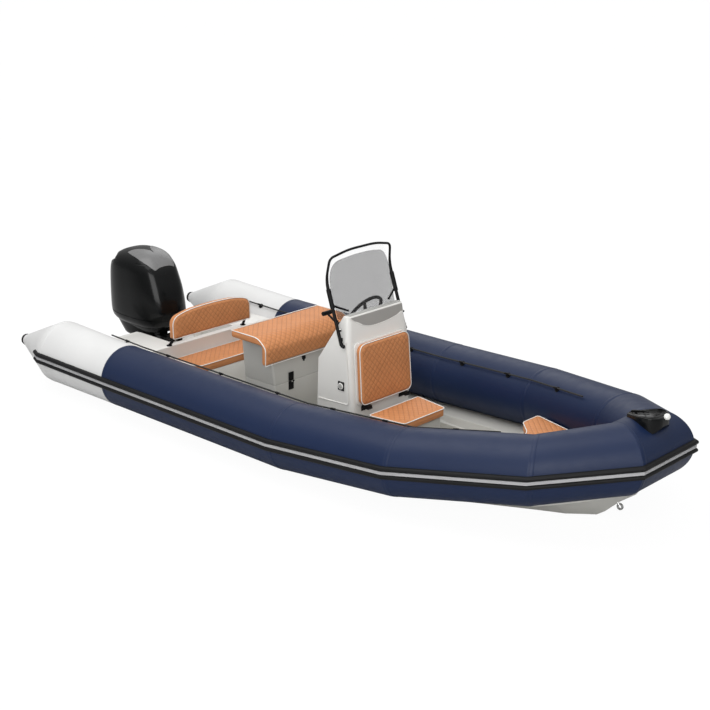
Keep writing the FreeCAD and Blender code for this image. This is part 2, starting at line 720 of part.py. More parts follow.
def leaning_post():
    front = size("post_front")
    rear = size("post_rear")
    seam = size("seam_z")
    sole = size("sole_z")
    wall = size("post_wall")
    half = size("post_half")
    lower = padded("post_base", "XZ_Plane", [
        (rear + 60, sole), (front, sole), (front, seam), (rear + 35, seam)], half * 2)
    pocketed(lower, "post_locker", "XZ_Plane", [
        (rear + 60 + wall, sole + wall), (front - wall, sole + wall), (front - wall, seam + 1),
        (rear + 35 + wall, seam + 1)], (half - wall) * 2)
    rounded(lower, "post_corners", 20,
            lambda edge: abs(middle(edge).y) > num("post_half") - 1
            and abs(edge.tangentAt(0).z) > 0.9 and abs(middle(edge).x) > num("post_front") - 1)
    node(lower, "post_base")
    top = size("post_top")
    lean = size("post_lean")
    upper = padded("post_box", "XZ_Plane", [
        (rear + 35, seam + size("gap")), (front, seam + size("gap")), (front - lean, top),
        (rear, top)], half * 2)
    rounded(upper, "box_corners", 20,
            lambda edge: abs(middle(edge).y) > num("post_half") - 1
            and abs(edge.tangentAt(0).z) > 0.9 and middle(edge).x > num("post_front") - 60)
    node(upper, "post_box")
    gap = size("gap")
    pad_top = size("post_pad_top")
    flap = size("post_flap_z")
    nose = size("post_pad_front")
    skin = nose - size("post_flap_thick")
    cushion = padded("post_cushion", "XZ_Plane", [
        (size("post_pad_rear"), top + gap), (skin, top + gap), (skin, flap), (nose, flap),
        (nose - 20, pad_top - 70), (nose - 90, pad_top), (size("post_pad_rear"), pad_top)],
        size("post_pad_half") * 2)
    rounded(cushion, "cushion_top", 22,
            lambda edge: along(edge, V(0, 1, 0)) and middle(edge).x > num("post_pad_front") - 100
            and middle(edge).z > num("post_flap_z") + 50 and middle(edge).z != num("post_top"))
    node(cushion, "post_cushion")
    fixed = []
    moving = []
    for name, hand in (("port", 1), ("starboard", -1)):
        inner = size("post_hinge_half") * hand - size("hinge_width") / 2
        outer = inner + size("hinge_width")
        leaf = box(f"post_leaf_low_{name}", front, front + size("hinge_thick"), inner, outer,
                   seam - size("hinge_leaf"), seam - 2)
        knuckle = cylinder(f"post_knuckle_{name}", size("knuckle_rad") - 1, size("hinge_width"),
                           hinge_x(), outer, seam, V(1, 0, 0), 90)
        fixed.append(fuse(f"post_hinge_low_{name}", leaf, knuckle))
        start = seam + size("knuckle_rad") - 1 + size("gap")
        plate = box(f"post_leaf_high_{name}", front - 12, front + size("hinge_thick"), inner,
                    outer, start, start + size("hinge_leaf"))
        lip = box(f"post_leaf_lip_{name}", front - 1, hinge_x(), inner, outer, start, start + 6)
        moving.append(fuse(f"post_hinge_high_{name}", plate, lip))
    node(compound("post_hinges_fixed", *fixed), "post_hinges_fixed")
    leaves = compound("post_leaves", *moving)
    node(cut("post_hinges_moving", leaves, upper), "post_hinges_moving")


# Console and windscreen

def console_front():
    return size("console_aft") + size("console_deep")


def dash_low_x():
    return size("console_aft") + size("dash_in")


def dash_top_x():
    return dash_low_x() + size("dash_deep")


def brow_x():
    """The front edge of the console's top."""
    return dash_top_x() + size("top_deep")


def console():
    half = size("console_half")
    wall = size("console_wall")
    aft = size("console_aft")
    front = console_front()
    lean = size("front_lean")
    top = size("console_top")
    body = padded("console", "XZ_Plane", [
        (aft, size("sole_z")), (front, size("sole_z")), (front, size("pad_low")),
        (front - lean, size("pad_high")), (brow_x(), top), (dash_top_x(), top),
        (dash_low_x(), size("dash_low_z"))], half * 2)
    rounded(body, "console_corners", size("console_round"),
            lambda edge: abs(middle(edge).y) > num("console_half") - 1
            and middle(edge).x > dash_top_x().number and abs(edge.tangentAt(0).z) > 0.8)
    pocketed(body, "console_inside", "XZ_Plane", [
        (aft + wall * 3, size("sole_z") + wall), (front - wall * 2, size("sole_z") + wall),
        (front - wall * 2, size("pad_low")), (front - lean - wall * 2, size("hatch_high")),
        (dash_low_x() + 160, size("hatch_high")),
        (dash_low_x() + wall * 3, size("dash_low_z") - wall)], (half - wall * 2) * 2)
    opening = size("hatch_half")
    pocketed(body, "hatch_opening", "YZ_Plane", [
        (-opening, size("hatch_low")), (opening, size("hatch_low")),
        (opening, size("hatch_high") - 12), (-opening, size("hatch_high") - 12)],
        120, front - 20)
    node(body, "console")
    slope = [
        (dash_top_x() + 6, top + size("gap")), (brow_x() - 2, top + size("gap")),
        (brow_x() - 6, top + size("cap_thick")), (dash_top_x() + 10, top + size("cap_thick")),
    ]
    node(padded("console_cap", "XZ_Plane", slope, (half - size("cap_in")) * 2), "console_cap")


def front_slope():
    """Lean of the console's front face above the hatch's lower edge, in degrees."""
    return math.degrees(math.atan2(num("front_lean"), num("pad_high") - num("pad_low")))


def lean_back(item, x, z, angle):
    """Places a piece at a foot on the centreline and leans it aft."""
    return place(item, x, 0, z, V(0, 1, 0), -angle)


def hatch():
    """The hatch on the console's front, with its cushion: built upright, then leaned with the face."""
    tall = size("pad_high") - size("pad_low")
    half = size("pad_half")
    base = size("gap")
    panel = padded("hatch_board", "YZ_Plane", [(-half, 0), (half, 0), (half, tall), (-half, tall)],
                   size("hatch_thick"), base + size("hatch_thick") / 2)
    rounded(panel, "hatch_board_round", 40, lambda edge: along(edge, V(1, 0, 0)))
    face = console_front()
    panel = lean_back(panel, face, size("pad_low"), front_slope())
    arms = [panel]
    for name, hand in (("port", 1), ("starboard", -1)):
        inner = size("hatch_hinge_half") * hand - size("hinge_width") / 2
        arms.append(box(f"hatch_swing_{name}", face + 2, hatch_hinge_x(),
                        inner, inner + size("hinge_width"), hatch_hinge_z() + size("knuckle_rad")
                        + size("gap"), size("pad_low") + 4))
    node(fuse("hatch_panel_solid", *arms), "hatch_panel")
    front = base + size("hatch_thick") + size("gap")
    pad = padded("hatch_cushion", "YZ_Plane", [
        (-half, 6), (half, 6), (half - 8, tall - 2), (-half + 8, tall - 2)],
        size("pad_thick"), front + size("pad_thick") / 2)
    rounded(pad, "hatch_cushion_corners", 42, lambda edge: along(edge, V(1, 0, 0)))
    rounded(pad, "hatch_cushion_round", 10,
            lambda edge: abs(middle(edge).x - (num("pad_thick") + front.number)) < 1)
    node(lean_back(pad, face, size("pad_low"), front_slope()), "hatch_cushion")
    leaves = []
    for name, hand in (("port", 1), ("starboard", -1)):
        inner = size("hatch_hinge_half") * hand - size("hinge_width") / 2
        outer = inner + size("hinge_width")
        leaf = box(f"hatch_leaf_{name}", face, face + 5, inner, outer, hatch_hinge_z() - 33,
                   hatch_hinge_z() + 4)
        arm = box(f"hatch_arm_{name}", face, hatch_hinge_x(), inner, outer, hatch_hinge_z() - 4,
                  hatch_hinge_z() + 4)
        knuckle = cylinder(f"hatch_knuckle_{name}", size("knuckle_rad"), size("hinge_width"),
                           hatch_hinge_x(), outer, hatch_hinge_z(), V(1, 0, 0), 90)
        leaves.append(fuse(f"hatch_hinge_{name}", leaf, arm, knuckle))
    node(compound("hatch_hinges", *leaves), "hatch_hinges")


def hatch_hinge_x():
    return console_front() + size("hatch_thick") + size("pad_thick") + size("hatch_hinge_out")


def hatch_hinge_z():
    return size("pad_low") - size("hatch_hinge_drop")


def swept(points, bend, radius):
    """A round bar along straight runs joined by arcs of one radius."""
    edges = []
    start = points[0]
    for a, b, c in zip(points, points[1:], points[2:]):
        back = (a - b).normalize()
        ahead = (c - b).normalize()
        half_turn = math.radians(180) / 2 - back.getAngle(ahead) / 2
        reach = bend * math.tan(half_turn)
        first = b + back * reach
        last = b + ahead * reach
        towards = (back + ahead).normalize()
        centre = b + towards * (bend / math.cos(half_turn))
        edges.append(Part.LineSegment(start, first).toShape())
        edges.append(Part.Arc(first, centre - towards * bend, last).toShape())
        start = last
    edges.append(Part.LineSegment(start, points[-1]).toShape())
    heading = (points[1] - points[0]).normalize()
    circle = Part.Wire([Part.Circle(points[0], heading, radius).toShape()])
    return Part.Wire(edges).makePipeShell([circle], True, False)


def windscreen():
    half = num("hoop_half")
    top = num("hoop_top_z")
    arch = top + num("hoop_arch")
    dash = dash_top_x().number
    foot = V(dash + num("hoop_foot_in"), -half, num("hoop_foot_z"))
    bend = V(dash - num("hoop_bend_back"), -half + 4, num("hoop_bend_z"))
    leg = [
        foot,
        bend,
        V(dash - num("hoop_top_back"), -half + 22, top),
        V(dash - num("hoop_top_back") + 16, -half * 0.42, arch),
    ]
    route = leg + [mirror(point) for point in reversed(leg)]
    hoop = node(feature("windscreen_hoop", swept(route, 70, num("hoop_rad"))), "windscreen_hoop")
    tall = (size("glass_top_z") - size("console_top")) * 1.033
    wide = size("glass_half")
    slim = size("glass_top_half")
    glass = padded("windscreen_glass", "YZ_Plane", [
        (-wide, size("cap_thick") + 2), (wide, size("cap_thick") + 2), (wide, tall * 0.62), (slim, tall),
        (slim * 0.4, tall + 18), (-slim * 0.4, tall + 18), (-slim, tall), (-wide, tall * 0.62)],
        size("glass_thick"))
    node(lean_back(glass, dash_top_x() + size("glass_in"), size("console_top"), num("glass_lean")),
         "windscreen_glass")
    stays = []
    edge = size("console_half")
    reach = size("hoop_half") - edge - 5
    wide = size("stay_size")
    for name, start in (("port", edge), ("starboard", -edge - reach)):
        for place_name in ("low", "high"):
            level = size(f"stay_{place_name}_z")
            share = (level.number - foot.z) / (bend.z - foot.z)
            x = as_size(foot.x + (bend.x - foot.x) * share)
            stays.append(box(f"hoop_stay_{name}_{place_name}", x - wide / 2, x + wide / 2, start,
                             start + reach, level - wide / 2, level + wide / 2))
    node(cut("hoop_stays", compound("hoop_stay_blanks", *stays), hoop), "hoop_stays")


# Helm

def dash_frame():
    """Foot of the steering column on the dash, and the direction that points at the helmsman."""
    low = V(dash_low_x().number, num("wheel_side"), num("dash_low_z"))
    high = V(dash_top_x().number, num("wheel_side"), num("console_top"))
    up = (high - low).normalize()
    out = V(-up.z, 0, up.x)
    return low + up * num("wheel_up"), up, out


def helm():
    foot, up, out = dash_frame()
    column = Part.makeCylinder(num("column_rad"), num("column_len"), foot + out * num("gap"), out)
    node(feature("steering_column", column), "steering_column")
    seat = foot + out * (num("gap") * 2 + num("column_len"))
    hub = Part.makeCylinder(num("hub_rad"), num("hub_len"), seat, out)
    centre = seat + out * (num("hub_len") / 2)
    rim = Part.makeTorus(num("wheel_rad"), num("rim_rad"), centre, out)
    wheel = hub.fuse(rim)
    across = V(0, 1, 0)
    for degrees in (90, 210, 330):
        turn = math.radians(degrees)
        aim = across * math.cos(turn) + up * math.sin(turn)
        spoke = Part.makeCylinder(9, num("wheel_rad"), centre, aim)
        wheel = wheel.fuse(spoke)
    node(feature("steering_wheel", wheel.removeSplitter()), "steering_wheel")
    throttle(up, out)


def throttle(up, out):
    """The throttle: a round base on the dash, a lever and a grip across its end."""
    low = V(dash_low_x().number, -num("lever_side"), num("dash_low_z"))
    foot = low + up * num("lever_up") + out * num("gap")
    base = Part.makeCylinder(30, 34, foot, out)
    head = foot + out * 24
    end = V(dash_top_x().number - num("grip_back"), -num("lever_side"), num("grip_z"))
    arm = Part.makeCylinder(9, (end - head).Length, head, end - head)
    grip = Part.makeCylinder(17, 84, end - V(0, 42, 0), V(0, 1, 0))
    node(feature("throttle", base.fuse(arm).fuse(grip)), "throttle")


def vent():
    """A round vent with a square bezel, low on the console's starboard side."""
    face = -size("console_half")
    x = console_front() - size("vent_back")
    z = size("vent_z")
    wide = size("vent_wide")
    tall = size("vent_tall")
    plate = box("vent_plate", x - wide / 2, x + wide / 2, face - 8, face - size("gap"),
                z - tall / 2, z + tall / 2)
    disc = cylinder("vent_disc", size("vent_rad"), 6, x, face - 7, z, V(1, 0, 0), 90)
    node(fuse("console_vent", plate, disc), "console_vent")


def front_seat():
    rear = console_front() + size("seat_gap")
    front = rear + size("seat_deep")
    wide = size("seat_rear_half")
    slim = size("seat_front_half")
    tall = size("seat_top") - size("sole_z")
    base = padded("seat_base", "XY_Plane", [
        (console_front(), -wide + 20), (front - 25, -slim + 20), (front - 25, slim - 20),
        (console_front(), wide - 20)], tall, size("sole_z") + tall / 2)
    node(base, "seat_base")
    soft_block("seat_cushion", "XY_Plane", [(rear, -wide), (front, -slim), (front, slim), (rear, wide)],
               size("cushion_thick"), size("seat_top") + size("gap") + size("cushion_thick") / 2, 14)


# Bow

def bow_locker(room, shell):
    top = num("locker_z")

    def profile(flange, axis):
        return [(flange - 17, top)]

    places = (num("locker_x"), hull_stations()[4][0], num("bend3_x"), num("locker_front"))
    block = lined("bow_locker_block", places, profile)
    inside = cut("bow_locker_inside", block, room)
    return node(cut("bow_locker", inside, shell), "bow_locker")


def bow_cushion():
    """The bow cushion: it follows the tubes, with a scoop in its aft edge."""
    rear = size("locker_x") - 15
    gap = size("bow_pad_gap")
    side_rear = size("bend2_half") - size("bend2_rad") - 55 - gap
    side_mid = size("bend3_half") - size("bend3_rad") + 10 - gap
    mid_x = size("bend3_x") - 150
    scoop = size("bow_pad_scoop")
    front = size("bow_pad_front")
    outline = [
        (rear, -side_rear), (rear, -side_rear * 0.66), (rear + scoop * 0.75, -side_rear * 0.36),
        (rear + scoop, 0), (rear + scoop * 0.75, side_rear * 0.36), (rear, side_rear * 0.66),
        (rear, side_rear), (mid_x, side_mid), (front, side_mid * 0.62), (front, -side_mid * 0.62),
        (mid_x, -side_mid),
    ]
    soft_block("bow_cushion", "XY_Plane", outline, size("cushion_thick"),
               size("locker_z") + size("gap") + size("cushion_thick") / 2, 10)


def bow_fitting(room):
    """The black saddle on the bow tube: pointed aft, with a sloping top, and a lamp let into its front."""
    rear = size("bow_x") - size("saddle_back")
    front = size("bow_x") + size("saddle_ahead")
    half = size("saddle_half")
    top = size("tube_axis_z") + size("bow_rise") + size("bow_rad") + size("saddle_tall")
    block = padded("saddle_block", "XY_Plane", [
        (rear, -half * 0.15), (rear + 90, -half * 0.68), (front - 110, -half), (front - 50, -half * 0.96),
        (front - 12, -half * 0.6), (front, -half * 0.2), (front, half * 0.2), (front - 12, half * 0.6),
        (front - 50, half * 0.96), (front - 110, half), (rear + 90, half * 0.68), (rear, half * 0.15)],
        260, top - 130)
    pocketed(block, "saddle_top_slope", "XZ_Plane", [
        (rear - 1, top - size("saddle_slope")), (rear + 180, top), (rear + 180, top + 1),
        (rear - 1, top + 1)], half * 2 + 2)
    pocketed(block, "saddle_under_slope", "XZ_Plane", [
        (front - 60, top - 261), (front + 1, top - 261), (front + 1, top - 30), (front - 4, top - 30),
        (front - 60, top - 118)], half * 2 + 2)
    lamp = DOC.addObject("Part::Sphere", "lamp_ball")
    bind(lamp, Radius=size("lamp_rad"))
    place(lamp, front - 15, 0, top + 2)
    socket = DOC.addObject("Part::Sphere", "lamp_socket")
    bind(socket, Radius=size("lamp_rad") + size("gap"))
    place(socket, front - 15, 0, top + 2)
    node(cut("bow_fitting", cut("saddle_seated", block, room), socket), "bow_fitting")
    node(lamp, "nav_light")


def eye_ring(centre, face, across):
    """A towing eye: a flat ring on a shank that ends on a face, its hole pointing across."""
    thick = num("eye_thick")
    disc = Part.makeCylinder(num("eye_rad"), thick, centre - across * (thick / 2), across)
    shank = Part.makeCylinder(num("shank_rad"), (centre - face).Length, face, centre - face)
    hole = Part.makeCylinder(num("eye_hole"), thick * 3, centre - across * (thick * 1.5), across)
    return disc.fuse(shank).cut(hole)


def towing_eyes(shell):
    centre = V(num("eye_x"), 0, num("eye_z"))
    back = V(-0.62, 0, 0.78).normalize()
    bow = eye_ring(centre, centre + back * (num("eye_rad") + num("shank_rad") * 2), V(0, 1, 0))
    node(feature("bow_eye", bow.cut(shell.Shape)), "bow_eye")
    eyes = []
    for hand in (1, -1):
        face = V(-num("gap"), hand * num("stern_eye_half"), num("stern_eye_z"))
        flange = Part.makeCylinder(num("eye_rad"), 6, face, V(-1, 0, 0))
        ring_centre = face - V(num("stern_eye_out"), 0, 0)
        eyes.append(eye_ring(ring_centre, face, V(0, 0, 1)).fuse(flange))
    node(feature("stern_eyes", Part.makeCompound(eyes)), "stern_eyes")


# Grab lines

def line_route(hand):
    """Corners of a grab line above the inner side of the tube, with the tube points below them."""
    path = tube_path()
    corners = [on_path(stern_path(), num("line_start"))] + path[:3] + [on_path(path, num("line_end"))]
    angle = math.radians(num("line_angle"))
    outer = []
    seats = []
    for (point, rad), (across, stretch) in zip(corners, mitres(corners)):
        lean = -across * (math.cos(angle) * stretch) + V(0, 0, math.sin(angle))
        outer.append(point + lean * (rad + num("line_off")))
        seats.append(point + lean * rad)
    return side(outer, hand), side(seats, hand)


def grab_lines(room):
    clips = []
    for name, hand in (("port", 1), ("starboard", -1)):
        outer, seats = line_route(hand)
        rad = num("line_rad")
        line = tube_solid([(point, rad) for point in outer])
        node(feature(f"grab_line_{name}", line), f"grab_line_{name}")
        spots = []
        for a, b, low_a, low_b in zip(outer, outer[1:], seats, seats[1:]):
            count = max(1, round((b - a).Length / 600))
            for step in range(count):
                share = (step + 0.5) / count
                spots.append((a + (b - a) * share, low_a + (low_b - low_a) * share, (b - a)))
        for spot, seat, heading in spots:
            heading = V(heading).normalize()
            off = (spot - seat).normalize()
            base = seat - off * 2
            block = Part.makeCylinder(num("line_rad") + 3, num("clip_len"),
                                      spot - heading * (num("clip_len") / 2), heading)
            stem = Part.makeCylinder(7, (spot - base).Length, base, off)
            pad = Part.makeCylinder(22, 7, base, off)
            clips.append(block.fuse(stem).fuse(pad).cut(line).cut(room.Shape))
    node(feature("line_clips", Part.makeCompound(clips)), "line_clips")


def tube_fittings():
    """Small black fittings below the aft tubes."""
    blocks = []
    x = size("fitting_x")
    length = size("fitting_len")
    wide = size("fitting_wide")
    top = size("tube_axis_z") - size("tube_rad") - size("gap")
    for name, hand in (("port", 1), ("starboard", -1)):
        spot = size("tube_half") * hand
        blocks.append(box(f"fitting_{name}", x - length / 2, x + length / 2, spot - wide / 2,
                          spot + wide / 2, top - size("fitting_tall"), top))
    node(compound("tube_fittings", *blocks), "tube_fittings")


# Outboard motor

def clamp_bracket():
    """Two arms that hook over the transom, with the tilt tube between their tops."""
    arms = []
    gap = size("gap")
    for name, hand in (("port", 1), ("starboard", -1)):
        low = size("arm_in") if hand > 0 else -size("arm_in") - size("arm_thick")
        high = low + size("arm_thick")
        leg = box(f"clamp_leg_{name}", -46, -gap, low, high, -20, size("tilt_z") + 20)
        hook = box(f"clamp_hook_{name}", -46, size("transom_thick") + 30, low, high,
                   size("notch_z") + gap, size("tilt_z") + 20)
        front = box(f"clamp_front_{name}", size("transom_thick") + gap, size("transom_thick") + 30,
                    low, high, size("well_z") + 5, size("notch_z") + 10)
        arms += [leg, hook, front]
    reach = size("arm_in") + size("arm_thick") + 16
    tube = cylinder("tilt_tube", size("tilt_tube_rad"), reach * 2, size("tilt_x"), reach,
                    size("tilt_z"), V(1, 0, 0), 90)
    node(fuse("clamp_bracket", *arms, tube), "clamp_bracket")


def swivel_bracket():
    """The piece that tilts: a lug on the tilt tube, a web, and the steering tube."""
    half = size("swivel_half")
    lug = cylinder("swivel_lug", 30, half * 2, size("tilt_x"), half, size("tilt_z"), V(1, 0, 0), 90)
    web = box("swivel_web", size("steer_x"), size("tilt_x"), -half, half,
              size("notch_z") + size("play"), size("swivel_high"))
    tube = cylinder("swivel_tube", size("swivel_rad"), size("swivel_high") - size("swivel_low"),
                    size("steer_x"), 0, size("swivel_low"))
    whole_piece = fuse("swivel_solid", lug, web, tube)
    bore = cylinder("swivel_bore", size("tilt_tube_rad") + 0.5, half * 2 + 2, size("tilt_x"),
                    half + 1, size("tilt_z"), V(1, 0, 0), 90)
    node(cut("swivel_bracket", whole_piece, bore), "swivel_bracket")


def rounded_ring(cx, half_x, half_y, z, power=2.6, count=28):
    """A superellipse in plan at a given height."""
    points = []
    for i in range(count):
        turn = 2 * math.pi * i / count
        c = math.cos(turn)
        s = math.sin(turn)
        x = cx + half_x * math.copysign(abs(c) ** (2 / power), c)
        y = half_y * math.copysign(abs(s) ** (2 / power), s)
        points.append(V(x, y, z))
    curve = Part.BSplineCurve()
    curve.interpolate(points, True)
    return Part.Wire([curve.toShape()])


def cowl():
    aft = num("cowl_aft")
    nose = num("cowl_nose")
    half = num("cowl_half")
    low = num("cowl_low")
    top = num("cowl_top")
    tall = top - low
    levels = [
        (0.0, aft + 58, nose - 58, half - 51),
        (0.045, aft + 21, nose - 25, half - 23),
        (0.115, aft + 5, nose - 8, half - 7),
        (0.22, aft, nose, half),
        (0.48, aft + 3, nose - 36, half - 2),
        (0.705, aft + 10, nose - 95, half - 13),
        (0.80, aft + 30, nose - 128, half - 22),
        (0.89, aft + 80, nose - 183, half - 46),
        (0.95, aft + 143, nose - 243, half - 81),
        (0.987, aft + 213, nose - 323, half - 131),
        (1.0, aft + 280, nose - 393, half - 181),
    ]
    rings = []
    for share, rear, front, wide in levels:
        rings.append(rounded_ring((rear + front) / 2, (front - rear) / 2, wide, low + tall * share))
    body = Part.makeLoft(rings, True, True)
    node(feature("cowl", body), "cowl")


def midsection():
    """The shroud under the cowl, and the leg down to the gearcase."""
    low = num("cowl_low") - num("gap")
    steer = num("steer_x")
    rings = [
        rounded_ring(-260, 322, 186, low),
        rounded_ring(-265, 270, 150, low - 50),
    ]
    shroud = Part.makeLoft(rings, True, True)
    leg_rings = [
        rounded_ring(-290, 118, 95, low - 45),
        rounded_ring(-290, 108, 80, -60),
        rounded_ring(-285, 85, 34, -200),
        rounded_ring(-285, 85, 30, num("plate_z")),
    ]
    leg = Part.makeLoft(leg_rings, True, True)
    yoke_low = num("swivel_high") + num("play")
    yoke = Part.makeBox(220, 90, low - 40 - yoke_low, V(steer + 45 - 220, -45, yoke_low))
    foot_high = num("swivel_low") - num("play")
    foot = Part.makeBox(200, 60, 34, V(steer + 35 - 200, -30, foot_high - 34))
    pin_len = num("play") - num("gap") + 10
    pin = Part.makeCylinder(num("pin_rad"), pin_len, V(steer, 0, num("swivel_high") + num("gap")))
    pin_low = Part.makeCylinder(num("pin_rad"), pin_len, V(steer, 0, foot_high - 10))
    shape = shroud.fuse(leg).fuse(yoke).fuse(foot).fuse(pin).fuse(pin_low)
    node(feature("midsection", shape.removeSplitter()), "midsection")


def gearcase():
    plate = num("plate_z") - num("gap")
    shaft = num("prop_z")
    top = Part.makeBox(360, 150, 8, V(-560, -75, plate - 8))
    strut_rings = [
        rounded_ring(-290, 92, 26, plate - 4),
        rounded_ring(-300, 100, 26, shaft + 20),
    ]
    strut = Part.makeLoft(strut_rings, True, True)
    front = -150
    rear = num("prop_x") + num("prop_hub_len") / 2 + num("play")
    torpedo = Part.makeCylinder(52, -rear + front - 60, V(rear, 0, shaft), V(1, 0, 0))
    nose = Part.makeCone(52, 16, 90, V(front - 61, 0, shaft), V(1, 0, 0))
    skeg_points = [
        V(-250, -6, shaft), V(-450, -6, shaft), V(-470, -6, num("skeg_z")), V(-410, -6, num("skeg_z")),
    ]
    skeg = Part.Face(Part.makePolygon(skeg_points + skeg_points[:1])).extrude(V(0, 12, 0))
    shape = top.fuse(strut).fuse(torpedo).fuse(nose).fuse(skeg)
    shaft_bar = Part.makeCylinder(12, num("prop_hub_len") + num("play") + 30,
                                  V(rear + 2, 0, shaft), V(-1, 0, 0))
    node(feature("gearcase", shape.fuse(shaft_bar)), "gearcase")


def propeller():
    hub_len = num("prop_hub_len")
    rear = num("prop_x") - hub_len / 2
    axis = V(rear, 0, num("prop_z"))
    hub = Part.makeCone(num("prop_hub") - 6, num("prop_hub"), hub_len, axis, V(1, 0, 0))
    shape = hub
    for i in range(3):
        turn = i * 120
        blade_root = 30
        sections = []
        for radius, chord, pitch in ((blade_root, 62, 58), (95, 118, 36), (150, 88, 26),
                                     (num("prop_rad"), 30, 24)):
            angle = math.radians(90 - pitch)
            along_x = math.cos(angle) * chord / 2
            along_y = math.sin(angle) * chord / 2
            thick = 5 if radius < 150 else 3
            normal = V(-math.sin(angle), math.cos(angle), 0) * thick
            corner = V(along_x, along_y, radius)
            other = V(-along_x, -along_y, radius)
            points = [corner - normal, corner + normal, other + normal, other - normal]
            sections.append(Part.makePolygon(points + points[:1]))
        blade = Part.makeLoft(sections, True, True)
        blade.translate(V(num("prop_x"), 0, num("prop_z")))
        blade.rotate(V(num("prop_x"), 0, num("prop_z")), V(1, 0, 0), turn)
        shape = shape.fuse(blade)
    bore = Part.makeCylinder(12.5, hub_len + 2, V(rear - 1, 0, num("prop_z")), V(1, 0, 0))
    node(feature("propeller", shape.cut(bore)), "propeller")


def build():
    fill_sheet()
    room = collar_room()
    collar()
    strake()
    shell = hull(room)
    DOC.recompute()
    deck(room, shell)
    transom(room, shell)
    stern_moulding(room)
    bench_seat()
    leaning_post()
    console()
    hatch()
    windscreen()
    DOC.recompute()
    helm()
    vent()
    front_seat()
    bow_locker(room, shell)
    bow_cushion()
    bow_fitting(room)
    towing_eyes(shell)
    grab_lines(room)
    tube_fittings()
    clamp_bracket()
    swivel_bracket()
    cowl()
    midsection()
    gearcase()
    propeller()
    DOC.recompute()


def check():
    for item in DOC.Objects:
        if "Invalid" in item.State or "Error" in item.State:
            raise RuntimeError(f"{item.Label} failed: {item.State}")
    for item in NODES:
        if item.Shape.isNull() or not item.Shape.isValid():
            raise RuntimeError(f"{item.Label} has no valid shape")


def export():
    os.makedirs("parts", exist_ok=True)
    for item in NODES:
        shape = item.Shape
        bounds = shape.BoundBox
        print(f"{item.Label:22s} solids {len(shape.Solids)}  volume {shape.Volume / 1e6:9.3f} l"
              f"  x {bounds.XMin:7.0f} {bounds.XMax:7.0f}  y {bounds.YMin:6.0f} {bounds.YMax:6.0f}"
              f"  z {bounds.ZMin:6.0f} {bounds.ZMax:6.0f}")
        shape.exportStep(f"parts/{item.Label}.step")


build()
check()
export()
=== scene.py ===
import math
import bmesh
import bpy
import numpy as np
from mathutils import Matrix, Vector


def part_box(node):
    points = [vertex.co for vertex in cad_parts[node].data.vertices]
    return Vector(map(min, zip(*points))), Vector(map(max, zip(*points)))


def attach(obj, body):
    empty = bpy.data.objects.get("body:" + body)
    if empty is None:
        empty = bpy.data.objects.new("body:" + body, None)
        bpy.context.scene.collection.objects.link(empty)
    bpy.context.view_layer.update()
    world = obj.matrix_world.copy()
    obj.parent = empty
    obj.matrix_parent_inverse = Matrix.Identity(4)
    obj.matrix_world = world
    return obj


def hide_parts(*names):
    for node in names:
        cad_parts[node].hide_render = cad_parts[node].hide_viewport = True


# The looks of an inflatable RIB boat: coated tubes with a ribbed strake, quilted seats, console and outboard.
# Metres; +X points to the bow, +Y to port and +Z up, and the waterline is at z = 0.

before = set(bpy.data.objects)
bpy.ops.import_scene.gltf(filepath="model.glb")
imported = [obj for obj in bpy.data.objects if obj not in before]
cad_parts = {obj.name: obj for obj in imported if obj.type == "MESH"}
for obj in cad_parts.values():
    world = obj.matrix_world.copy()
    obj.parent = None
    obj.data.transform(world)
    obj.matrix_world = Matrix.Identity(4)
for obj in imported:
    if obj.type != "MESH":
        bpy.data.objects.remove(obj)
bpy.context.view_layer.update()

# Finishes


def new_finish(name, colour, roughness, metallic=0.0, coat=0.0, gleam=0.4):
    """A material with its shader, and its place in Object coordinates."""
    material = bpy.data.materials.new(name)
    material.use_nodes = True
    tree = material.node_tree
    shader = tree.nodes["Principled BSDF"]
    shader.inputs["Base Color"].default_value = (*colour, 1)
    shader.inputs["Roughness"].default_value = roughness
    shader.inputs["Metallic"].default_value = metallic
    shader.inputs["Coat Weight"].default_value = coat
    shader.inputs["Coat Roughness"].default_value = 0.06
    shader.inputs["Specular IOR Level"].default_value = gleam
    place = tree.nodes.new("ShaderNodeTexCoord")
    return material, tree, shader, place.outputs["Object"]


def noise(tree, place, scale, detail=3.0):
    cloud = tree.nodes.new("ShaderNodeTexNoise")
    cloud.inputs["Scale"].default_value = scale
    cloud.inputs["Detail"].default_value = detail
    tree.links.new(place, cloud.inputs["Vector"])
    return cloud.outputs["Fac"]


def between(tree, share, low, high):
    """Turns a share from 0.3 to 0.7 into a number between two others."""
    node = tree.nodes.new("ShaderNodeMapRange")
    node.inputs["From Min"].default_value = 0.3
    node.inputs["From Max"].default_value = 0.7
    node.inputs["To Min"].default_value = low
    node.inputs["To Max"].default_value = high
    tree.links.new(share, node.inputs["Value"])
    return node.outputs["Result"]


def mixed(tree, share, first, second):
    """A colour between two others."""
    node = tree.nodes.new("ShaderNodeMix")
    node.data_type = "RGBA"
    tree.links.new(share, node.inputs["Factor"])
    for socket, colour in ((node.inputs[6], first), (node.inputs[7], second)):
        if isinstance(colour, tuple):
            socket.default_value = (*colour, 1)
        else:
            tree.links.new(colour, socket)
    return node.outputs[2]


def sums(tree, operation, *values):
    """One step of arithmetic on sockets and numbers."""
    node = tree.nodes.new("ShaderNodeMath")
    node.operation = operation
    for i, value in enumerate(values):
        if isinstance(value, (int, float)):
            node.inputs[i].default_value = value
        else:
            tree.links.new(value, node.inputs[i])
    return node.outputs[0]


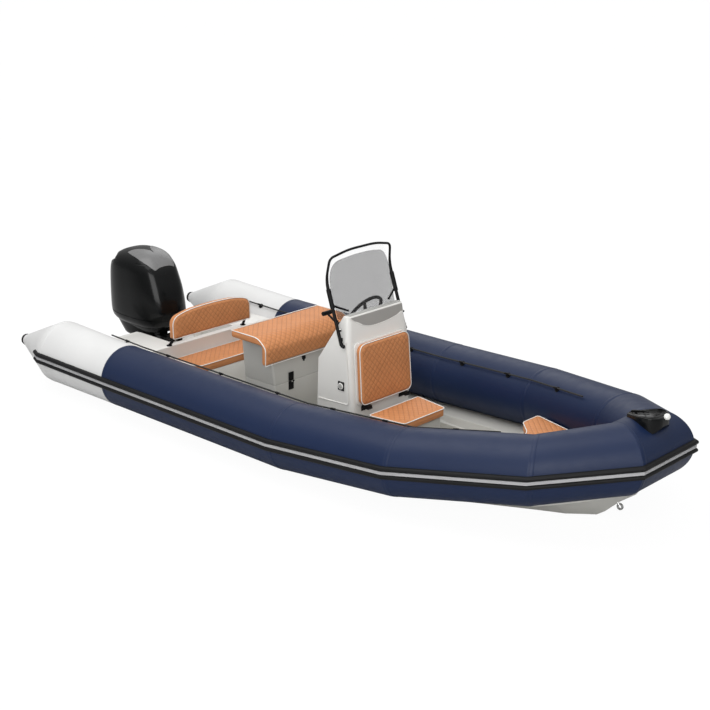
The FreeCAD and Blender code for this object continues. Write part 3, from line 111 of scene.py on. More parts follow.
def raised(tree, shader, height, depth, below=None):
    """Adds relief to a shader: its height map and how deep it goes, in metres."""
    bump = tree.nodes.new("ShaderNodeBump")
    bump.inputs["Distance"].default_value = depth
    bump.inputs["Strength"].default_value = 1.0
    tree.links.new(height, bump.inputs["Height"])
    if below:
        tree.links.new(below, bump.inputs["Normal"])
    tree.links.new(bump.outputs["Normal"], shader.inputs["Normal"])
    return bump.outputs["Normal"]


def tint(colour, factor):
    return tuple(min(1.0, part * factor) for part in colour)


def plain_finish(name, colour, roughness, mottle=0.05, grain=900, depth=0.00005, spread=0.06, **more):
    """Moulded or painted stuff: faint mottling, a fine grain, and roughness that varies with wear."""
    material, tree, shader, place = new_finish(name, colour, roughness, **more)
    cloud = noise(tree, place, 4.0, 5.0)
    shade = mixed(tree, between(tree, cloud, 0.0, 1.0), tint(colour, 1 - mottle), tint(colour, 1 + mottle))
    tree.links.new(shade, shader.inputs["Base Color"])
    wear = between(tree, noise(tree, place, 9.0, 6.0), roughness - spread, roughness + spread)
    tree.links.new(wear, shader.inputs["Roughness"])
    raised(tree, shader, noise(tree, place, grain, 2.0), depth)
    return material


def fabric_finish(name, colour, roughness, weave, gleam):
    """Coated tube fabric: a fine woven texture under the coating, with slight scuffs."""
    material, tree, shader, place = new_finish(name, colour, roughness, gleam=gleam)
    cloud = noise(tree, place, 2.5, 6.0)
    tree.links.new(mixed(tree, between(tree, cloud, 0.0, 1.0), tint(colour, 0.96), tint(colour, 1.04)),
                   shader.inputs["Base Color"])
    scuffs = between(tree, noise(tree, place, 14.0, 8.0), roughness - 0.03, roughness + 0.05)
    tree.links.new(scuffs, shader.inputs["Roughness"])
    threads = tree.nodes.new("ShaderNodeTexWave")
    threads.inputs["Scale"].default_value = weave
    threads.bands_direction = "DIAGONAL"
    tree.links.new(place, threads.inputs["Vector"])
    raised(tree, shader, threads.outputs["Fac"], 0.00006)
    return material


QUILT = 0.053


def quilted_finish(name, colour):
    """Quilted vinyl: stitched diamonds that follow the piece's own quilt attribute, with painted shade in
    their seams, and leather grain.
    """
    material, tree, shader, place = new_finish(name, colour, 0.52, gleam=0.3)
    own = tree.nodes.new("ShaderNodeAttribute")
    own.attribute_name = "quilt"
    parts = tree.nodes.new("ShaderNodeSeparateXYZ")
    tree.links.new(own.outputs["Vector"], parts.inputs["Vector"])
    along, across, weight = parts.outputs
    rising = sums(tree, "PINGPONG", sums(tree, "ADD", along, across), QUILT / 2)
    falling = sums(tree, "PINGPONG", sums(tree, "SUBTRACT", along, across), QUILT / 2)
    nearest = sums(tree, "MINIMUM", rising, falling)
    line = sums(tree, "SUBTRACT", 1.0, sums(tree, "MULTIPLY", nearest, 1 / 0.0044))
    line = sums(tree, "MULTIPLY", line, weight)
    line = sums(tree, "MAXIMUM", line, 0.0)
    stitch = sums(tree, "GREATER_THAN", sums(tree, "PINGPONG", across, 0.0025), 0.0008)
    thread = sums(tree, "MULTIPLY", line, stitch)
    cloud = noise(tree, place, 7.0, 4.0)
    leather = mixed(tree, between(tree, cloud, 0.0, 1.0), tint(colour, 0.94), tint(colour, 1.05))
    # The seam lines are darkened to 0.42 of the colour as painted shade in the stitched creases; the thread
    # along them is lighter.
    shade = mixed(tree, sums(tree, "MULTIPLY", line, 0.65), leather, tint(colour, 0.42))
    tree.links.new(mixed(tree, sums(tree, "MULTIPLY", thread, 0.1), shade, tint(colour, 1.3)),
                   shader.inputs["Base Color"])
    grain = tree.nodes.new("ShaderNodeTexVoronoi")
    grain.inputs["Scale"].default_value = 520
    tree.links.new(place, grain.inputs["Vector"])
    tree.links.new(between(tree, grain.outputs["Distance"], 0.46, 0.60), shader.inputs["Roughness"])
    fine = raised(tree, shader, grain.outputs["Distance"], 0.00012)
    raised(tree, shader, sums(tree, "MULTIPLY", line, -1.0), 0.0012, fine)
    return material


def ribbed_finish(name, colour, spacing, depth):
    """Rubber or non-skid with fine ribs across Y, the grooves between them darkened as painted shade."""
    material, tree, shader, place = new_finish(name, colour, 0.62)
    parts = tree.nodes.new("ShaderNodeSeparateXYZ")
    tree.links.new(place, parts.inputs["Vector"])
    ridge = sums(tree, "MULTIPLY", sums(tree, "PINGPONG", parts.outputs["Y"], spacing / 2), 2 / spacing)
    cloud = noise(tree, place, 40.0, 4.0)
    # Painted shade in the grooves: 0.55 to 0.7 of the colour, varied by a cloud, while the ridges keep the
    # full colour.
    groove_shade = mixed(tree, between(tree, cloud, 0.0, 1.0), tint(colour, 0.55), tint(colour, 0.7))
    on_ridge = sums(tree, "GREATER_THAN", ridge, 0.3)
    tree.links.new(mixed(tree, on_ridge, groove_shade, colour), shader.inputs["Base Color"])
    raised(tree, shader, on_ridge, depth)
    return material


def glass_finish(name, colour, alpha, roughness):
    material, tree, shader, place = new_finish(name, colour, roughness)
    shader.inputs["Alpha"].default_value = alpha
    shader.inputs["IOR"].default_value = 1.49
    tree.links.new(between(tree, noise(tree, place, 6.0, 4.0), roughness, roughness + 0.04),
                   shader.inputs["Roughness"])
    return material


def rope_finish(name, colour):
    material, tree, shader, place = new_finish(name, colour, 0.7)
    twist = tree.nodes.new("ShaderNodeTexWave")
    twist.inputs["Scale"].default_value = 90
    twist.bands_direction = "DIAGONAL"
    tree.links.new(place, twist.inputs["Vector"])
    # The colour follows the twist's relief: darker between the strands as painted shade, lighter on their
    # crowns as a painted highlight.
    tree.links.new(mixed(tree, twist.outputs["Fac"], tint(colour, 0.6), tint(colour, 1.6)),
                   shader.inputs["Base Color"])
    raised(tree, shader, twist.outputs["Fac"], 0.0008)
    return material


FINISHES = {
    "navy": fabric_finish("navy_fabric_finish", (0.004, 0.0135, 0.050), 0.44, 700, 0.3),
    "white": fabric_finish("white_fabric_finish", (0.66, 0.66, 0.655), 0.5, 700, 0.4),
    "tan": quilted_finish("quilted_vinyl", (0.56, 0.232, 0.092)),
    "piping": plain_finish("piping_vinyl", (0.80, 0.79, 0.76), 0.45),
    "gelcoat": plain_finish("gelcoat_grey", (0.66, 0.65, 0.61), 0.3, 0.01, 300, 0.00001, 0.03, coat=0.2),
    "moulding": plain_finish("moulded_white", (0.74, 0.73, 0.70), 0.32, 0.01, 260, 0.00001, 0.03, coat=0.15),
    "seat_shell": plain_finish("moulded_grey_beige", (0.50, 0.495, 0.465), 0.36, 0.01, 260, 0.00001, 0.03,
                               coat=0.1),
    "cap": plain_finish("console_top_light_grey", (0.38, 0.377, 0.36), 0.4, 0.02, 700, 0.00005),
    # Darker grey for the scoop under the console's brow: painted shade of its hollow.
    "scoop_shade": plain_finish("console_scoop_shade_grey", (0.33, 0.322, 0.305), 0.42, 0.03, 700, 0.00008),
    "nonskid": ribbed_finish("nonskid_ribs", (0.35, 0.34, 0.30), 0.014, 0.0006),
    "rubber": plain_finish("black_rubber_finish", (0.009, 0.009, 0.0095), 0.5, 0.15, 700, 0.0001, gleam=0.14),
    "strip": plain_finish("grey_strip", (0.42, 0.42, 0.43), 0.42, 0.04, 500, 0.0001),
    "plastic": plain_finish("black_plastic_finish", (0.007, 0.007, 0.0075), 0.42, 0.12, 1200, 0.0001,
                            gleam=0.12),
    "black_metal": plain_finish("black_powder_coat", (0.005, 0.005, 0.0055), 0.36, 0.1, 1400, 0.00006,
                                gleam=0.16),
    "gloss": plain_finish("gloss_black_paint", (0.003, 0.0034, 0.0036), 0.2, 0.1, 500, 0.00001, 0.03,
                          coat=0.1, gleam=0.16),
    "cowl_grey": plain_finish("cowl_panel_grey", (0.15, 0.15, 0.15), 0.3, 0.03, 900, 0.00006),
    "steel": plain_finish("polished_steel", (0.62, 0.62, 0.61), 0.18, 0.03, 800, 0.00002, 0.05, metallic=1.0),
    "prop": plain_finish("propeller_paint", (0.015, 0.015, 0.016), 0.3, 0.1, 600, 0.00004, coat=0.5),
    "lens": plain_finish("lamp_lens", (0.80, 0.80, 0.77), 0.16, 0.02, 300, 0.00001, 0.03, coat=0.6),
    "dial": plain_finish("dial_face", (0.03, 0.03, 0.035), 0.25, 0.1, 300, 0.00001, 0.04, coat=1.0),
    "smoke": glass_finish("smoked_acrylic", (0.02, 0.02, 0.021), 0.345, 0.05),
    "clear": glass_finish("clear_acrylic", (0.80, 0.80, 0.81), 0.06, 0.05),
    "rope": rope_finish("grab_rope", (0.02, 0.02, 0.02)),
}

# Ways of making pieces


def deselect():
    bpy.ops.object.select_all(action="DESELECT")


def pick(piece):
    deselect()
    piece.select_set(True)
    bpy.context.view_layer.objects.active = piece


def settle(piece):
    """Puts a piece's place into its mesh."""
    pick(piece)
    bpy.ops.object.transform_apply(location=True, rotation=True, scale=True)
    return piece


def smooth(piece, degrees=35):
    pick(piece)
    bpy.ops.object.shade_smooth_by_angle(angle=math.radians(degrees))
    return piece


def fit(piece, finish, body="boat", *stands_for):
    """Gives a finished piece its material, its body and the nodes it stands for."""
    piece.data.materials.clear()
    piece.data.materials.append(FINISHES[finish])
    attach(piece, body)
    if stands_for:
        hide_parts(*stands_for)
    return piece


def edit(piece, choose=None, mode="EDGE"):
    """Opens a piece in edit mode with the chosen edges or faces selected."""
    pick(piece)
    bpy.ops.object.mode_set(mode="EDIT")
    bpy.ops.mesh.select_mode(type=mode)
    bpy.ops.mesh.select_all(action="DESELECT")
    mesh = bmesh.from_edit_mesh(piece.data)
    items = mesh.edges if mode == "EDGE" else mesh.faces
    for item in items:
        item.select = choose is None or bool(choose(item))
    mesh.select_flush_mode()
    bmesh.update_edit_mesh(piece.data)


def close_edit():
    bpy.ops.object.mode_set(mode="OBJECT")


def turned_out(piece):
    """The piece with all its faces looking outwards."""
    pick(piece)
    bpy.ops.object.mode_set(mode="EDIT")
    bpy.ops.mesh.select_all(action="SELECT")
    bpy.ops.mesh.normals_make_consistent(inside=False)
    close_edit()
    return piece


def walled(piece, thick):
    """The sheet with a thickness, half of it on each side."""
    pick(piece)
    wall = piece.modifiers.new("wall", "SOLIDIFY")
    wall.thickness = thick
    wall.offset = 0
    bpy.ops.object.modifier_apply(modifier=wall.name)
    return piece


def bevelled(piece, width, segments=3, choose=None):
    edit(piece, choose)
    bpy.ops.mesh.bevel(offset=width, segments=segments, affect="EDGES")
    close_edit()
    return piece


def block(name, low, high, rim=0.004, segments=3, choose=None):
    """A box between two corners with rounded edges."""
    deselect()
    low = Vector(low)
    high = Vector(high)
    bpy.ops.mesh.primitive_cube_add(size=1, location=(low + high) / 2)
    piece = bpy.context.active_object
    piece.name = name
    piece.scale = high - low
    settle(piece)
    if rim:
        bevelled(piece, rim, segments, choose)
    return smooth(piece)


def disc(name, centre, direction, radius, length, rim=0.002, sides=48):
    """A round bar or button from a centre along a direction, its end edges rounded."""
    deselect()
    direction = Vector(direction).normalized()
    centre = Vector(centre)
    bpy.ops.mesh.primitive_cylinder_add(vertices=sides, radius=radius, depth=length,
                                        location=centre + direction * length / 2,
                                        rotation=direction.to_track_quat("Z", "Y").to_euler())
    piece = bpy.context.active_object
    piece.name = name
    settle(piece)
    if rim:
        bevelled(piece, rim, 3, lambda edge: edge.calc_face_angle(0) > 1.2)
    return smooth(piece)


def joined(name, pieces):
    pick(pieces[0])
    for piece in pieces:
        piece.select_set(True)
    bpy.ops.object.join()
    whole = bpy.context.active_object
    whole.name = name
    return whole


def bar(name, points, radius, order=3, cyclic=False, sides=4):
    """A round bar, cable or piping along a line; its radius may change from point to point."""
    radii = radius if isinstance(radius, list) else [radius] * len(points)
    curve = bpy.data.curves.new(name, "CURVE")
    curve.dimensions = "3D"
    curve.bevel_depth = radii[0]
    curve.bevel_resolution = sides
    curve.resolution_u = 6
    curve.use_fill_caps = True
    spline = curve.splines.new("POLY" if order == 1 else "NURBS")
    spline.points.add(len(points) - 1)
    for point, place, wide in zip(spline.points, points, radii):
        point.co = (*place, 1)
        point.radius = wide / radii[0]
    if order > 1:
        spline.order_u = order
        spline.use_endpoint_u = not cyclic
    spline.use_cyclic_u = cyclic
    piece = bpy.data.objects.new(name, curve)
    bpy.context.collection.objects.link(piece)
    pick(piece)
    bpy.ops.object.convert(target="MESH")
    piece = bpy.context.active_object
    return smooth(piece, 60)


def surface(name, points, faces):
    mesh = bpy.data.meshes.new(name)
    mesh.from_pydata([tuple(point) for point in points], [], faces)
    mesh.update()
    piece = bpy.data.objects.new(name, mesh)
    bpy.context.collection.objects.link(piece)
    return piece


def skinned(name, rings, closed_ring=True, caps=True, round_trip=False):
    """A surface through rings of points, with flat caps at its ends."""
    count = len(rings[0])
    points = [point for ring in rings for point in ring]
    faces = []
    last = len(rings) if round_trip else len(rings) - 1
    for i in range(last):
        a = i * count
        b = ((i + 1) % len(rings)) * count
        for j in range(count if closed_ring else count - 1):
            k = (j + 1) % count
            faces.append((a + j, a + k, b + k, b + j))
    if caps and closed_ring and not round_trip:
        faces.append(tuple(reversed(range(count))))
        faces.append(tuple(range((len(rings) - 1) * count, len(rings) * count)))
    return turned_out(surface(name, points, faces))


def softened(name, node, width, finish, body="boat", segments=3, degrees=28):
    """A moulded piece of the same shape as its node, with its edges rounded as a moulding's are."""
    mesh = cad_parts[node].data.copy()
    piece = bpy.data.objects.new(name, mesh)
    bpy.context.collection.objects.link(piece)
    pick(piece)
    bpy.ops.mesh.customdata_custom_splitnormals_clear()
    bpy.ops.object.mode_set(mode="EDIT")
    bpy.ops.mesh.select_all(action="SELECT")
    bpy.ops.mesh.remove_doubles(threshold=0.00002)
    bpy.ops.mesh.dissolve_limited(angle_limit=math.radians(1.5))
    close_edit()
    edge = piece.modifiers.new("rounding", "BEVEL")
    edge.width = width
    edge.segments = segments
    edge.limit_method = "ANGLE"
    edge.angle_limit = math.radians(degrees)
    edge.use_clamp_overlap = True
    bpy.ops.object.modifier_apply(modifier=edge.name)
    smooth(piece, 40)
    return fit(piece, finish, body, node)


def rounded(corners, radius, steps=6):
    """A closed outline with an arc at each corner."""
    count = len(corners)
    radii = radius if isinstance(radius, (list, tuple)) else [radius] * count
    result = []
    for i in range(count):
        corner = Vector(corners[i])
        back = (Vector(corners[i - 1]) - corner)
        ahead = (Vector(corners[(i + 1) % count]) - corner)
        reach = min(radii[i], back.length * 0.49, ahead.length * 0.49)
        if reach < 1e-5:
            result.append(corner)
            continue
        first = corner + back.normalized() * reach
        last = corner + ahead.normalized() * reach
        for step in range(steps + 1):
            t = step / steps
            result.append(first * (1 - t) ** 2 + corner * 2 * t * (1 - t) + last * t ** 2)
    return result


# Cushions


def blank(name, outline, thick, rim):
    """A flat outline drawn up to its thickness, with the rim of both faces rounded."""
    deselect()
    bpy.ops.mesh.primitive_circle_add(vertices=len(outline), radius=1, fill_type="NGON")
    piece = bpy.context.active_object
    piece.name = name
    for vertex, point in zip(piece.data.vertices, outline):
        vertex.co = (point[0], point[1], 0)
    edit(piece, None, "FACE")
    bpy.ops.mesh.extrude_region_move(TRANSFORM_OT_translate={"value": (0, 0, thick)})
    bpy.ops.mesh.select_all(action="SELECT")
    bpy.ops.mesh.normals_make_consistent(inside=False)
    close_edit()
    bevelled(piece, rim, 4, lambda edge: edge.calc_face_angle(0) > 1.2)
    return piece


def dense(piece, voxel):
    """Gives a blank an even net of small faces."""
    pick(piece)
    net = piece.modifiers.new("net", "REMESH")
    net.mode = "VOXEL"
    net.voxel_size = voxel
    bpy.ops.object.modifier_apply(modifier=net.name)
    relax = piece.modifiers.new("relax", "SMOOTH")
    relax.factor = 0.5
    relax.iterations = 6
    bpy.ops.object.modifier_apply(modifier=relax.name)


def swollen(piece, cap, pressure=4.0):
    """Pads a piece as foam under a stretched cover does, by a short cloth simulation with capped moves."""
    before = np.array([vertex.co for vertex in piece.data.vertices])
    pick(piece)
    cloth = piece.modifiers.new("cloth", "CLOTH")
    cloth.settings.use_pressure = True
    cloth.settings.uniform_pressure_force = pressure
    cloth.settings.effector_weights.gravity = 0
    cloth.settings.tension_stiffness = 40
    scene = bpy.context.scene
    for step in range(1, 13):
        scene.frame_set(step)
    bpy.ops.object.modifier_apply(modifier=cloth.name)
    scene.frame_set(1)
    after = np.array([vertex.co for vertex in piece.data.vertices])
    move = after - before
    length = np.linalg.norm(move, axis=1, keepdims=True)
    move *= np.minimum(1, cap / np.maximum(length, 1e-9))
    after = before + move
    piece.data.vertices.foreach_set("co", after.astype(np.float32).ravel())
    piece.data.update()


def edge_distance(points, outline):
    """Distance of points in the plane from a closed outline."""
    best = np.full(len(points), 1e9)
    ends = np.array([[point[0], point[1]] for point in outline])
    for a, b in zip(ends, np.roll(ends, -1, axis=0)):
        run = b - a
        share = np.clip(((points - a) @ run) / max(run @ run, 1e-12), 0, 1)
        best = np.minimum(best, np.linalg.norm(points - (a + share[:, None] * run), axis=1))
    return best


def quilting(along, across):
    """Height of the quilting from 0 in a seam to 1 in the middle of a diamond."""
    def wave(value):
        turn = np.mod(value, QUILT)
        return np.minimum(turn, QUILT - turn)
    nearest = np.minimum(wave(along + across), wave(along - across)) / (QUILT / 2)
    return 1 - (1 - np.clip(nearest * 1.6, 0, 1)) ** 2


def quilt_attribute(piece, along, across, weight):
    own = piece.data.attributes.new("quilt", "FLOAT_VECTOR", "POINT")
    values = np.stack([along, across, weight], axis=1).astype(np.float32)
    own.data.foreach_set("vector", values.ravel())


def mesh_arrays(piece):
    points = np.array([vertex.co for vertex in piece.data.vertices])
    normals = np.array([vertex.normal for vertex in piece.data.vertices])
    return points, normals


def flat_cushion(name, outline, thick, matrix, node, body="boat", crown=0.006, rim=0.014, voxel=0.006):
    """A cushion with a quilted top face, drawn in by its seams, and white piping round that face."""
    piece = blank(name, outline, thick, rim)
    dense(piece, voxel)
    swollen(piece, 0.003)
    points, normals = mesh_arrays(piece)
    inside = edge_distance(points[:, :2], outline)
    up = np.clip((normals[:, 2] - 0.75) / 0.2, 0, 1) * (points[:, 2] > thick * 0.6)
    field = np.clip((inside - 0.016) / 0.012, 0, 1) * up
    swell = 1 - (1 - np.clip(inside / 0.14, 0, 1)) ** 2
    lift = up * crown * swell
    lift += field * 0.0034 * (quilting(points[:, 1], points[:, 0]) - 0.7)
    waist = np.sin(np.pi * np.clip(points[:, 2] / thick, 0, 1)) * (np.abs(normals[:, 2]) < 0.5)
    moved = points + np.array([[0, 0, 1.0]]) * lift[:, None]
    flat = normals * np.array([[1, 1, 0]])
    moved -= flat * (waist * 0.0025)[:, None]
    piece.data.vertices.foreach_set("co", moved.astype(np.float32).ravel())
    quilt_attribute(piece, points[:, 1], points[:, 0], field)
    piece.data.transform(matrix)
    piece.data.update()
    for polygon in piece.data.polygons:
        polygon.use_smooth = True
    fit(piece, "tan", body, node)
    level = thick - rim * 0.35
    ring = [matrix @ Vector((point[0], point[1], level)) for point in shrunk(outline, rim * 0.2)]
    fit(bar(name + "_piping", ring, 0.0036, 1, True), "piping", body)
    return piece


def shrunk(outline, inset):
    """An outline drawn in by a small distance."""
    count = len(outline)
    points = [Vector((point[0], point[1])) for point in outline]
    area = sum(points[i - 1].x * points[i].y - points[i].x * points[i - 1].y for i in range(count))
    hand = 1 if area > 0 else -1
    result = []
    for i in range(count):
        run = points[(i + 1) % count] - points[i - 1]
        if run.length < 1e-9:
            continue
        side = Vector((-run.y, run.x)).normalized() * hand
        result.append(points[i] + side * inset)
    return result


def level_frame(z):
    """Outline in X and Y, thickness upwards."""
    return Matrix.Translation((0, 0, z))


def upright_frame(x, z, lean_degrees, facing=1):
    """Outline in height and Y, thickness forwards, leaned aft about its foot."""
    axes = Matrix(((0, 0, facing, 0), (0, 1, 0, 0), (1, 0, 0, 0), (0, 0, 0, 1)))
    lean = Matrix.Rotation(math.radians(-lean_degrees), 4, "Y")
    return Matrix.Translation((x, 0, z)) @ lean @ axes


def seats():
    low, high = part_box("bench_cushion")
    outline = rounded([(low.x, low.y), (high.x, low.y), (high.x, high.y), (low.x, high.y)],
                      [0.03, 0.09, 0.09, 0.03], 8)
    flat_cushion("bench_pad", outline, high.z - low.z - 0.004, level_frame(low.z), "bench_cushion")
    low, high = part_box("seat_cushion")
    rear, front = 0.290, 0.240
    outline = rounded([(low.x, -rear), (high.x, -front), (high.x, front), (low.x, rear)], 0.035, 8)
    flat_cushion("front_seat_pad", outline, high.z - low.z - 0.004, level_frame(low.z), "seat_cushion")
    low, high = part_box("bow_cushion")
    half = [(3.626, 0.540), (3.978, 0.446), (4.213, 0.322), (4.328, 0.205)]
    inner = [(3.626, 0.345), (3.760, 0.215), (3.812, 0.09)]
    corners = [(x, -y) for x, y in inner[::-1]] + [(x, -y) for x, y in half]
    corners += half[::-1] + inner
    outline = rounded(corners, 0.03, 5)
    flat_cushion("bow_pad", outline, high.z - low.z - 0.004, level_frame(low.z), "bow_cushion")
    low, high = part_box("backrest")
    top = high.z - low.z
    end = top - 0.055
    outline = rounded([(0.0, -0.438), (0.0, 0.438), (end, 0.438), (top - 0.012, 0.27), (top, 0.0),
                       (top - 0.012, -0.27), (end, -0.438)], [0.022, 0.022, 0.075, 0.2, 0.2, 0.2, 0.075], 8)
    flat_cushion("backrest_pad", outline, 0.060, upright_frame(0.549, low.z, 2.0), "backrest")
    tall = 0.474
    outline = rounded([(0.0, -0.288), (0.0, 0.288), (tall, 0.280), (tall, -0.280)],
                      [0.06, 0.06, 0.075, 0.075], 8)
    flat_cushion("hatch_pad", outline, 0.044, upright_frame(2.560, 0.3605, 4.46), "hatch_cushion", "hatch",
                 crown=0.007, rim=0.013)
    post_pad()


def post_pad():
    """The leaning post's cushion: it rolls over the post's front edge and hangs down as a flap."""
    low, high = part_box("post_cushion")
    box_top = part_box("post_box")[1].z
    skin = high.x - 0.05
    nose = [(low.x, box_top + 0.001), (skin, box_top + 0.001), (skin - 0.002, low.z), (high.x - 0.006, low.z),
            (high.x - 0.002, high.z - 0.075), (high.x - 0.085, high.z - 0.002), (low.x, high.z - 0.002)]
    outline = rounded(nose, [0.012, 0.006, 0.02, 0.02, 0.03, 0.075, 0.02], 8)
    wide = high.y - low.y
    piece = blank("post_pad", outline, wide, 0.013)
    dense(piece, 0.0068)
    swollen(piece, 0.003)
    outer = rounded([(high.x - 0.006, low.z), (high.x - 0.002, high.z - 0.075),
                     (high.x - 0.085, high.z - 0.002), (low.x, high.z - 0.002)], [0, 0.03, 0.075, 0], 8)
    points, normals = mesh_arrays(piece)
    plane = points[:, :2]
    best = np.full(len(points), 1e9)
    route = np.zeros(len(points))
    done = 0.0
    for a, b in zip(outer, outer[1:]):
        a = np.array(a)
        run = np.array(b) - a
        length = np.linalg.norm(run)
        if length < 1e-6:
            continue
        share = np.clip(((plane - a) @ run) / length ** 2, 0, 1)
        away = np.linalg.norm(plane - (a + share[:, None] * run), axis=1)
        nearer = away < best
        best[nearer] = away[nearer]
        route[nearer] = done + share[nearer] * length
        done += length
    across = points[:, 2] - wide / 2
    to_side = wide / 2 - np.abs(across)
    to_end = np.minimum(route, done - route)
    face = (best < 0.008) & (np.abs(normals[:, 2]) < 0.6)
    inset = np.minimum(to_side, to_end)
    field = face * np.clip((inset - 0.018) / 0.012, 0, 1)
    lift = face * 0.005 * (1 - (1 - np.clip(inset / 0.12, 0, 1)) ** 2)
    lift += field * 0.0034 * (quilting(across, route) - 0.7)
    moved = points + normals * lift[:, None]
    piece.data.vertices.foreach_set("co", moved.astype(np.float32).ravel())
    quilt_attribute(piece, across, route, field)
    turn = Matrix(((1, 0, 0, 0), (0, 0, 1, low.y), (0, 1, 0, 0), (0, 0, 0, 1)))
    piece.data.transform(turn)
    turned_out(piece)
    for polygon in piece.data.polygons:
        polygon.use_smooth = True
    fit(piece, "tan", "post_lid", "post_cushion")
    rings = []
    for side in (low.y + 0.004, high.y - 0.004):
        rings.append([Vector((point[0], side, point[1])) for point in outer])
    path = list(reversed(rings[0])) + rings[1]
    fit(bar("post_pad_piping", path, 0.0038, 1, True), "piping", "post_lid")


# Collar

AXIS = [
    (0.600, 0.943, 0.290, 0.2500), (2.500, 0.943, 0.290, 0.2500), (3.480, 0.866, 0.348, 0.2415),
    (4.363, 0.565, 0.453, 0.2360), (4.810, 0.204, 0.554, 0.2360),
]
STERN = [(-0.785, 0.943, 0.290, 0.045), (-0.240, 0.943, 0.303, 0.263)]


def whole_route(half):
    """Corners of the collar's axis from the starboard side round the bow to port, with their radii."""
    starboard = [(Vector((x, -y, z)), rad) for x, y, z, rad in half]
    return starboard + [(Vector((point.x, -point.y, point.z)), rad) for point, rad in reversed(starboard)]


def corner_frames(corners):
    """Across direction in the mitre plane at each corner, stretched to reach the mitre, and the runs."""
    flat = [Vector((point.x, point.y, 0)) for point, _ in corners]
    level = [(b - a).normalized() for a, b in zip(flat, flat[1:])]
    runs = [(b[0] - a[0]).normalized() for a, b in zip(corners, corners[1:])]
    outs = []
    for i in range(len(corners)):
        after = level[min(i, len(level) - 1)]
        heading = (level[max(i - 1, 0)] + after).normalized()
        outs.append(Vector((heading.y, -heading.x, 0)) / heading.dot(after))
    return outs, runs


def mitred(corners, section, edge=0.005, step=0.15):
    """Rings of a section along straight lengths that meet in crisp mitres."""
    outs, runs = corner_frames(corners)
    marks = [section(point, out, rad) for (point, rad), out in zip(corners, outs)]
    rings = [marks[0]]
    for i, run in enumerate(runs):
        length = (corners[i + 1][0] - corners[i][0]).length
        first = [point + run * edge for point in marks[i]]
        last = [point - run * edge for point in marks[i + 1]]
        count = max(1, round(length / step))
        for k in range(count + 1):
            rings.append([a.lerp(b, k / count) for a, b in zip(first, last)])
        rings.append(marks[i + 1])
    return rings


def seam(corners, index, start, wide):
    """A lapped seam of the tube's fabric: a thin band parallel to the cut at a corner."""
    outs, runs = corner_frames(corners)
    point, rad = corners[index]
    run = runs[min(index, len(runs) - 1)]
    rings = []
    for shift, proud in ((0, -0.001), (0.0006, 0.0007), (0.002, 0.0012), (wide - 0.002, 0.0012),
                         (wide - 0.0006, 0.0007), (wide, -0.001)):
        ring = tube_ring(point, outs[index], rad + proud)
        rings.append([spot + run * (start + shift) for spot in ring])
    return skinned("seam_band", rings, True, False)


def tube_ring(point, out, rad, sides=72):
    ring = []
    for i in range(sides):
        turn = 2 * math.pi * i / sides
        ring.append(point + out * (rad * math.cos(turn)) + Vector((0, 0, rad * math.sin(turn))))
    return ring


def collar():
    corners = whole_route(AXIS)
    piece = skinned("navy_tube", mitred(corners, tube_ring))
    fit(smooth(piece, 50), "navy", "boat", "tube_main")
    bands = [seam(corners, 0, 0.0, 0.034), seam(corners, len(corners) - 1, -0.034, 0.034)]
    bands += [seam(corners, index, 0.012, 0.028) for index in range(1, len(corners) - 1)]
    fit(smooth(joined("tube_seam_bands", bands), 50), "navy", "boat")
    for name, hand in (("starboard", -1), ("port", 1)):
        corners = [(Vector((x, y * hand, z)), rad) for x, y, z, rad in STERN + AXIS[:1]]
        piece = skinned(f"white_tube_{name}", mitred(corners, tube_ring))
        fit(smooth(piece, 50), "white", "boat", f"tube_aft_{name}")
        fit(smooth(seam(corners, 1, 0.010, 0.028), 50), "white", "boat")
    cone_ends()


def cone_ends():
    """Black moulded caps on the stern cones, each with a ring and a domed end."""
    caps = []
    for hand in (1, -1):
        y = AXIS[0][1] * hand
        centre = Vector((-0.783, y, AXIS[0][2]))
        caps.append(disc("cap", centre, (-1, 0, 0), 0.0475, 0.021, 0.007))
        deselect()
        bpy.ops.mesh.primitive_torus_add(location=centre + Vector((0.006, 0, 0)), major_radius=0.0475,
                                         minor_radius=0.0045, rotation=(0, math.pi / 2, 0),
                                         major_segments=48, minor_segments=12)
        caps.append(settle(bpy.context.active_object))
    fit(smooth(joined("cone_end_caps", caps)), "rubber", "boat", "cone_caps")


def bead(centre_up, radius, out, count=9):
    """The section of a round bead, from its top to its foot, as distance from the tube and height."""
    points = []
    for i in range(count):
        turn = math.pi / 2 - math.pi * i / (count - 1)
        points.append((0.006 + (out - 0.006) * math.cos(turn), centre_up + radius * math.sin(turn)))
    return points


def strake():
    """The rub strake: two black beads with a ribbed grey strip between them, round the whole boat."""
    corners = whole_route([(-0.330, 0.943, 0.3009, 0.2270), STERN[1]] + AXIS)
    upper = bead(0.035, 0.0168, 0.0235)
    lower = bead(-0.022, 0.0158, 0.0235)
    black = [(-0.012, 0.052)] + upper + [(0.005, 0.018), (0.005, -0.006)] + lower + [(-0.012, -0.038)]
    grey = [(0.004, 0.0178)]
    for i in range(4):
        top = 0.0172 - i * 0.0058
        grey += [(0.0125, top), (0.0135, top - 0.0012), (0.0135, top - 0.0034), (0.0105, top - 0.0044)]
    grey += [(0.004, -0.0056)]
    for name, profile, finish, node in (("strake_beads", black, "rubber", "rub_strake"),
                                        ("strake_strip", grey, "strip", "strake_insert")):
        def section(point, out, rad):
            return [point + out * (rad + away) + Vector((0, 0, up)) for away, up in profile]

        piece = skinned(name, mitred(corners, section))
        fit(smooth(piece, 40), finish, "boat", node)


# Hull, deck and mouldings


